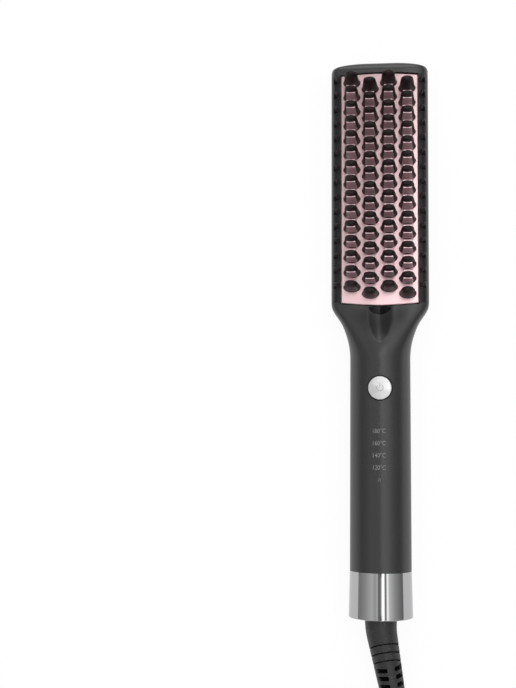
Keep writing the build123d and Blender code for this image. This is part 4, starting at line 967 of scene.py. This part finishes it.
def makeGuard():
    total, line = guardLine()
    around = guard["around"]
    points, drops = [], []
    for s, place, ahead in line:
        right = Vector((0, 0, 1)).cross(ahead).normalized()
        up = ahead.cross(right)
        radius = guardRadius(s, total)
        for k in range(around):
            angle = 2 * pi * k / around
            drops.append(guardDrop(s, radius, angle))
            reach = radius - drops[-1]
            points.append(place + right * (reach * cos(angle)) + up * (reach * sin(angle)))
    mesh = meshFrom("guardSleeve", points, ringFaces(len(line), around))
    piece = addPiece("guard_sleeve", mesh, "cord", "cordRubber", 60)
    # faces deep in the side slots take the near-black finish: painted shade in the slots
    mesh.materials.append(materials["paintedShadeBlack"])
    for face in mesh.polygons:
        if sum(drops[index] for index in face.vertices) > guard["slotDepth"]:
            face.material_index = 1
    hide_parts("cord_guard")
    return piece


guardPiece = makeGuard()
print("cord guard made")


def hankPoints():
    side, near = cord["hankSide"], cord["nearFold"]
    far = near - cord["straight"]
    pitch, steps = cord["diameter"], cord["foldSteps"]
    points = []
    for index, (column, layer) in enumerate(cord["turns"]):
        radius = cord["foldRadius"] + column * pitch
        z = pitch * (layer + 0.5)
        for share in cord["outShares"]:
            points.append((side + radius, near + (far - near) * share, z))
        for step in range(1, steps):
            angle = pi * step / steps
            points.append((side + radius * cos(angle), far - radius * sin(angle), z))
        last = index == len(cord["turns"]) - 1
        for share in cord["lastShares" if last else "backShares"]:
            points.append((side - radius, far + (near - far) * share, z))
        if last:
            break
        nextColumn, nextLayer = cord["turns"][index + 1]
        nextRadius = cord["foldRadius"] + nextColumn * pitch
        nextZ = pitch * (nextLayer + 0.5)
        bulge = cord["foldBulge"] * (2 * column - 1) if nextColumn == column else 0
        for step in range(steps + 1):
            share = step / steps
            angle, blend = pi * (1 - share), smooth(share)
            reach = radius + (nextRadius - radius) * blend + bulge * sin(pi * share)
            points.append((side + reach * cos(angle), near + reach * sin(angle), z + (nextZ - z) * blend))
    return points


def makeCord():
    points = [*cord["guardRoute"], *cord["freeRoute"], *hankPoints(), *cord["tailRoute"]]
    curve = bpy.data.curves.new("cord_line", "CURVE")
    curve.dimensions = "3D"
    spline = curve.splines.new("NURBS")
    spline.points.add(len(points) - 1)
    for point, place in zip(spline.points, points):
        point.co = (*(Vector(place) * mm), 1)
    spline.order_u = 3
    spline.use_endpoint_u = True
    spline.resolution_u = 6
    curve.bevel_depth = cord["diameter"] / 2 * mm
    curve.bevel_resolution = 6
    curve.use_fill_caps = True
    piece = newObject("mains_cord", curve)
    dress(piece, "cordRubber")
    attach(piece, "cord")
    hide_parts("cord_core", "power_cord", "cord_hank", "cord_tail")


makeCord()
print("cord laid")


# button: black cap, spun silver inlay and a plain power sign
button = {
    "y": casing["buttonY"],
    "radius": 6.05,
    "topZ": 31.05,
    "rise": 0.35,
    "inlayRise": 0.05,
    # radius and how far the ring lies under the crown
    "inlay": ((0.4, 0), (1.5, 0), (2.8, 0), (4.0, 0), (5.0, 0), (5.4, 0), (5.58, 0.015), (5.68, 0.05),
              (5.72, 0.1), (5.72, 0.3), (0.4, 0.3)),
    "signRadius": 1.75,
    "line": 0.32,
    "opening": 38,
    "signSteps": 40,
    "barLevels": (0.35, 1.0, 1.6, 2.1),
    "signThickness": 0.02,
}
spunSilver = {
    "pale": (0.84, 0.84, 0.845), "dark": (0.68, 0.68, 0.69), "dull": (0.56, 0.56, 0.57), "dullShare": 0.5,
    "rings": 5200, "grain": 2600, "mottle": 300, "rough": 0.26, "swing": 0.16, "depth": 0.002,
    "metal": 0.75, "anisotropic": 0.75,
}


def makeSpunSilver():
    # turned face: fine rings round the middle, so that the gloss fans out from it
    material, tree, shader = newMaterial("spunSilver")
    place = addNode(tree, "TexCoord")
    middle = Vector((0, button["y"], button["topZ"] + button["rise"])) * mm
    away = addNode(tree, "VectorMath", {0: place.outputs["Object"], 1: middle}, operation="SUBTRACT")
    reach = addNode(tree, "VectorMath", {0: away.outputs[0]}, operation="LENGTH").outputs["Value"]
    rings = addNode(tree, "TexNoise", {"W": reach, "Scale": spunSilver["rings"], "Detail": relief["detail"]},
                    noise_dimensions="1D").outputs["Fac"]
    grain = placeGroup(tree, "grain", {"Scale": spunSilver["grain"], "Mottle Scale": spunSilver["mottle"]})
    dull = addMath(tree, "MULTIPLY", grain.outputs["Mottle"], spunSilver["dullShare"])
    colour = mixColours(tree, rings, spunSilver["pale"], spunSilver["dark"])
    tangent = addNode(tree, "Tangent", direction_type="RADIAL", axis="Z")
    setInputs(tree, shader, {
        "Base Color": mixColours(tree, dull, colour, spunSilver["dull"]),
        "Roughness": addMath(tree, "MULTIPLY_ADD", rings, spunSilver["swing"], spunSilver["rough"]),
        "Metallic": spunSilver["metal"],
        "Anisotropic": spunSilver["anisotropic"],
        "Tangent": tangent.outputs[0],
        "Normal": addBump(tree, rings, spunSilver["depth"]),
    })
    return material


def crownPoint(x, y, lift):
    # a point over the inlay's crown, from its place beside the button's middle
    rise = button["rise"] * (1 - (x * x + y * y) / button["radius"] ** 2)
    return x, button["y"] + y, button["topZ"] + rise + button["inlayRise"] + lift


def makeButtonInlay():
    # thin crowned disc with a rounded rim
    points, around = [], casing["buttonSteps"]
    for reach, drop in button["inlay"]:
        points += [crownPoint(x, y, -drop) for x, y in discOutline(0, 0, reach, around)]
    mesh = meshFrom("buttonInlay", points, ringFaces(len(button["inlay"]), around))
    addPiece("button_inlay", mesh, "button", "spunSilver")


def makeButtonSign():
    # an open ring and a bar, each as pairs of points along a line
    steps, half = button["signSteps"], button["line"] / 2
    arc = []
    for k in range(steps + 1):
        angle = radians(90 + button["opening"] + (360 - 2 * button["opening"]) * k / steps)
        arc.append([(r * cos(angle), r * sin(angle)) for r in
                    (button["signRadius"] - button["line"], button["signRadius"])])
    bar = [[(-half, y), (half, y)] for y in button["barLevels"]]
    points, faces, top = [], [], button["signThickness"]
    for strip in (arc, bar):
        start = len(points)
        for first, second in strip:
            points += [crownPoint(*first, 0), crownPoint(*second, 0), crownPoint(*second, top),
                       crownPoint(*first, top)]
        faces += ringFaces(len(strip), 4, start)
    addPiece("button_sign", meshFrom("buttonSign", points, faces), "button", "signGrey")


materials["spunSilver"] = makeSpunSilver()
makeButtonInlay()
makeButtonSign()
print("button dressed")


# temperature numbers printed along the handle, with a small ring under them
legend = {
    "texts": ("180°C", "160°C", "140°C", "120°C"),
    "firstY": -47.8,
    "pitch": 5.97,
    "middleX": -0.35,
    "width": 6.2,
    "height": 2.3,
    "lift": 0.005,
    "thickness": 0.03,
    "markY": -71.8,
    "markSize": 1.5,
    "markHollow": 0.72,
    "markSteps": 24,
}


def wrapOnHandle(name, source, y, width, height):
    # flat outline scaled to its size, laid on the round handle and given a print's thickness
    mesh = bpy.data.meshes.new(name)
    work = bmesh.new()
    work.from_mesh(source)
    xs = [v.co.x for v in work.verts]
    ys = [v.co.y for v in work.verts]
    for v in work.verts:
        across = legend["middleX"] + ((v.co.x - min(xs)) / (max(xs) - min(xs)) - 0.5) * width
        along = y + ((v.co.y - min(ys)) / (max(ys) - min(ys)) - 0.5) * height
        v.co = Vector((across, along, casingHeight(across, along, True) + legend["lift"])) * mm
    extruded = bmesh.ops.extrude_face_region(work, geom=work.faces[:])
    for item in extruded["geom"]:
        if isinstance(item, bmesh.types.BMVert):
            item.co.z += legend["thickness"] * mm
    bmesh.ops.recalc_face_normals(work, faces=work.faces)
    work.to_mesh(mesh)
    work.free()
    piece = newObject(name, mesh)
    dress(piece, "legendPrint")
    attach(piece, "brush")


def printLegends():
    for index, words in enumerate(legend["texts"]):
        text = bpy.data.curves.new(f"text{index}", "FONT")
        text.body = words
        text.resolution_u = 4
        holder = newObject(f"text{index}", text)
        bpy.context.view_layer.update()
        flat = bpy.data.meshes.new_from_object(holder)
        bpy.data.objects.remove(holder)
        y = legend["firstY"] - index * legend["pitch"]
        wrapOnHandle(f"legend_{index + 1}", flat, y, legend["width"], legend["height"])
    around = legend["markSteps"]
    rims = discOutline(0, 0, 1, around) + discOutline(0, 0, legend["markHollow"], around)
    flat = bpy.data.meshes.new("mark")
    flat.from_pydata([(x, y, 0) for x, y in rims], [], bandFaces(0, around, around))
    wrapOnHandle("legend_mark", flat, legend["markY"], legend["markSize"], legend["markSize"])


printLegends()
print("legends printed")
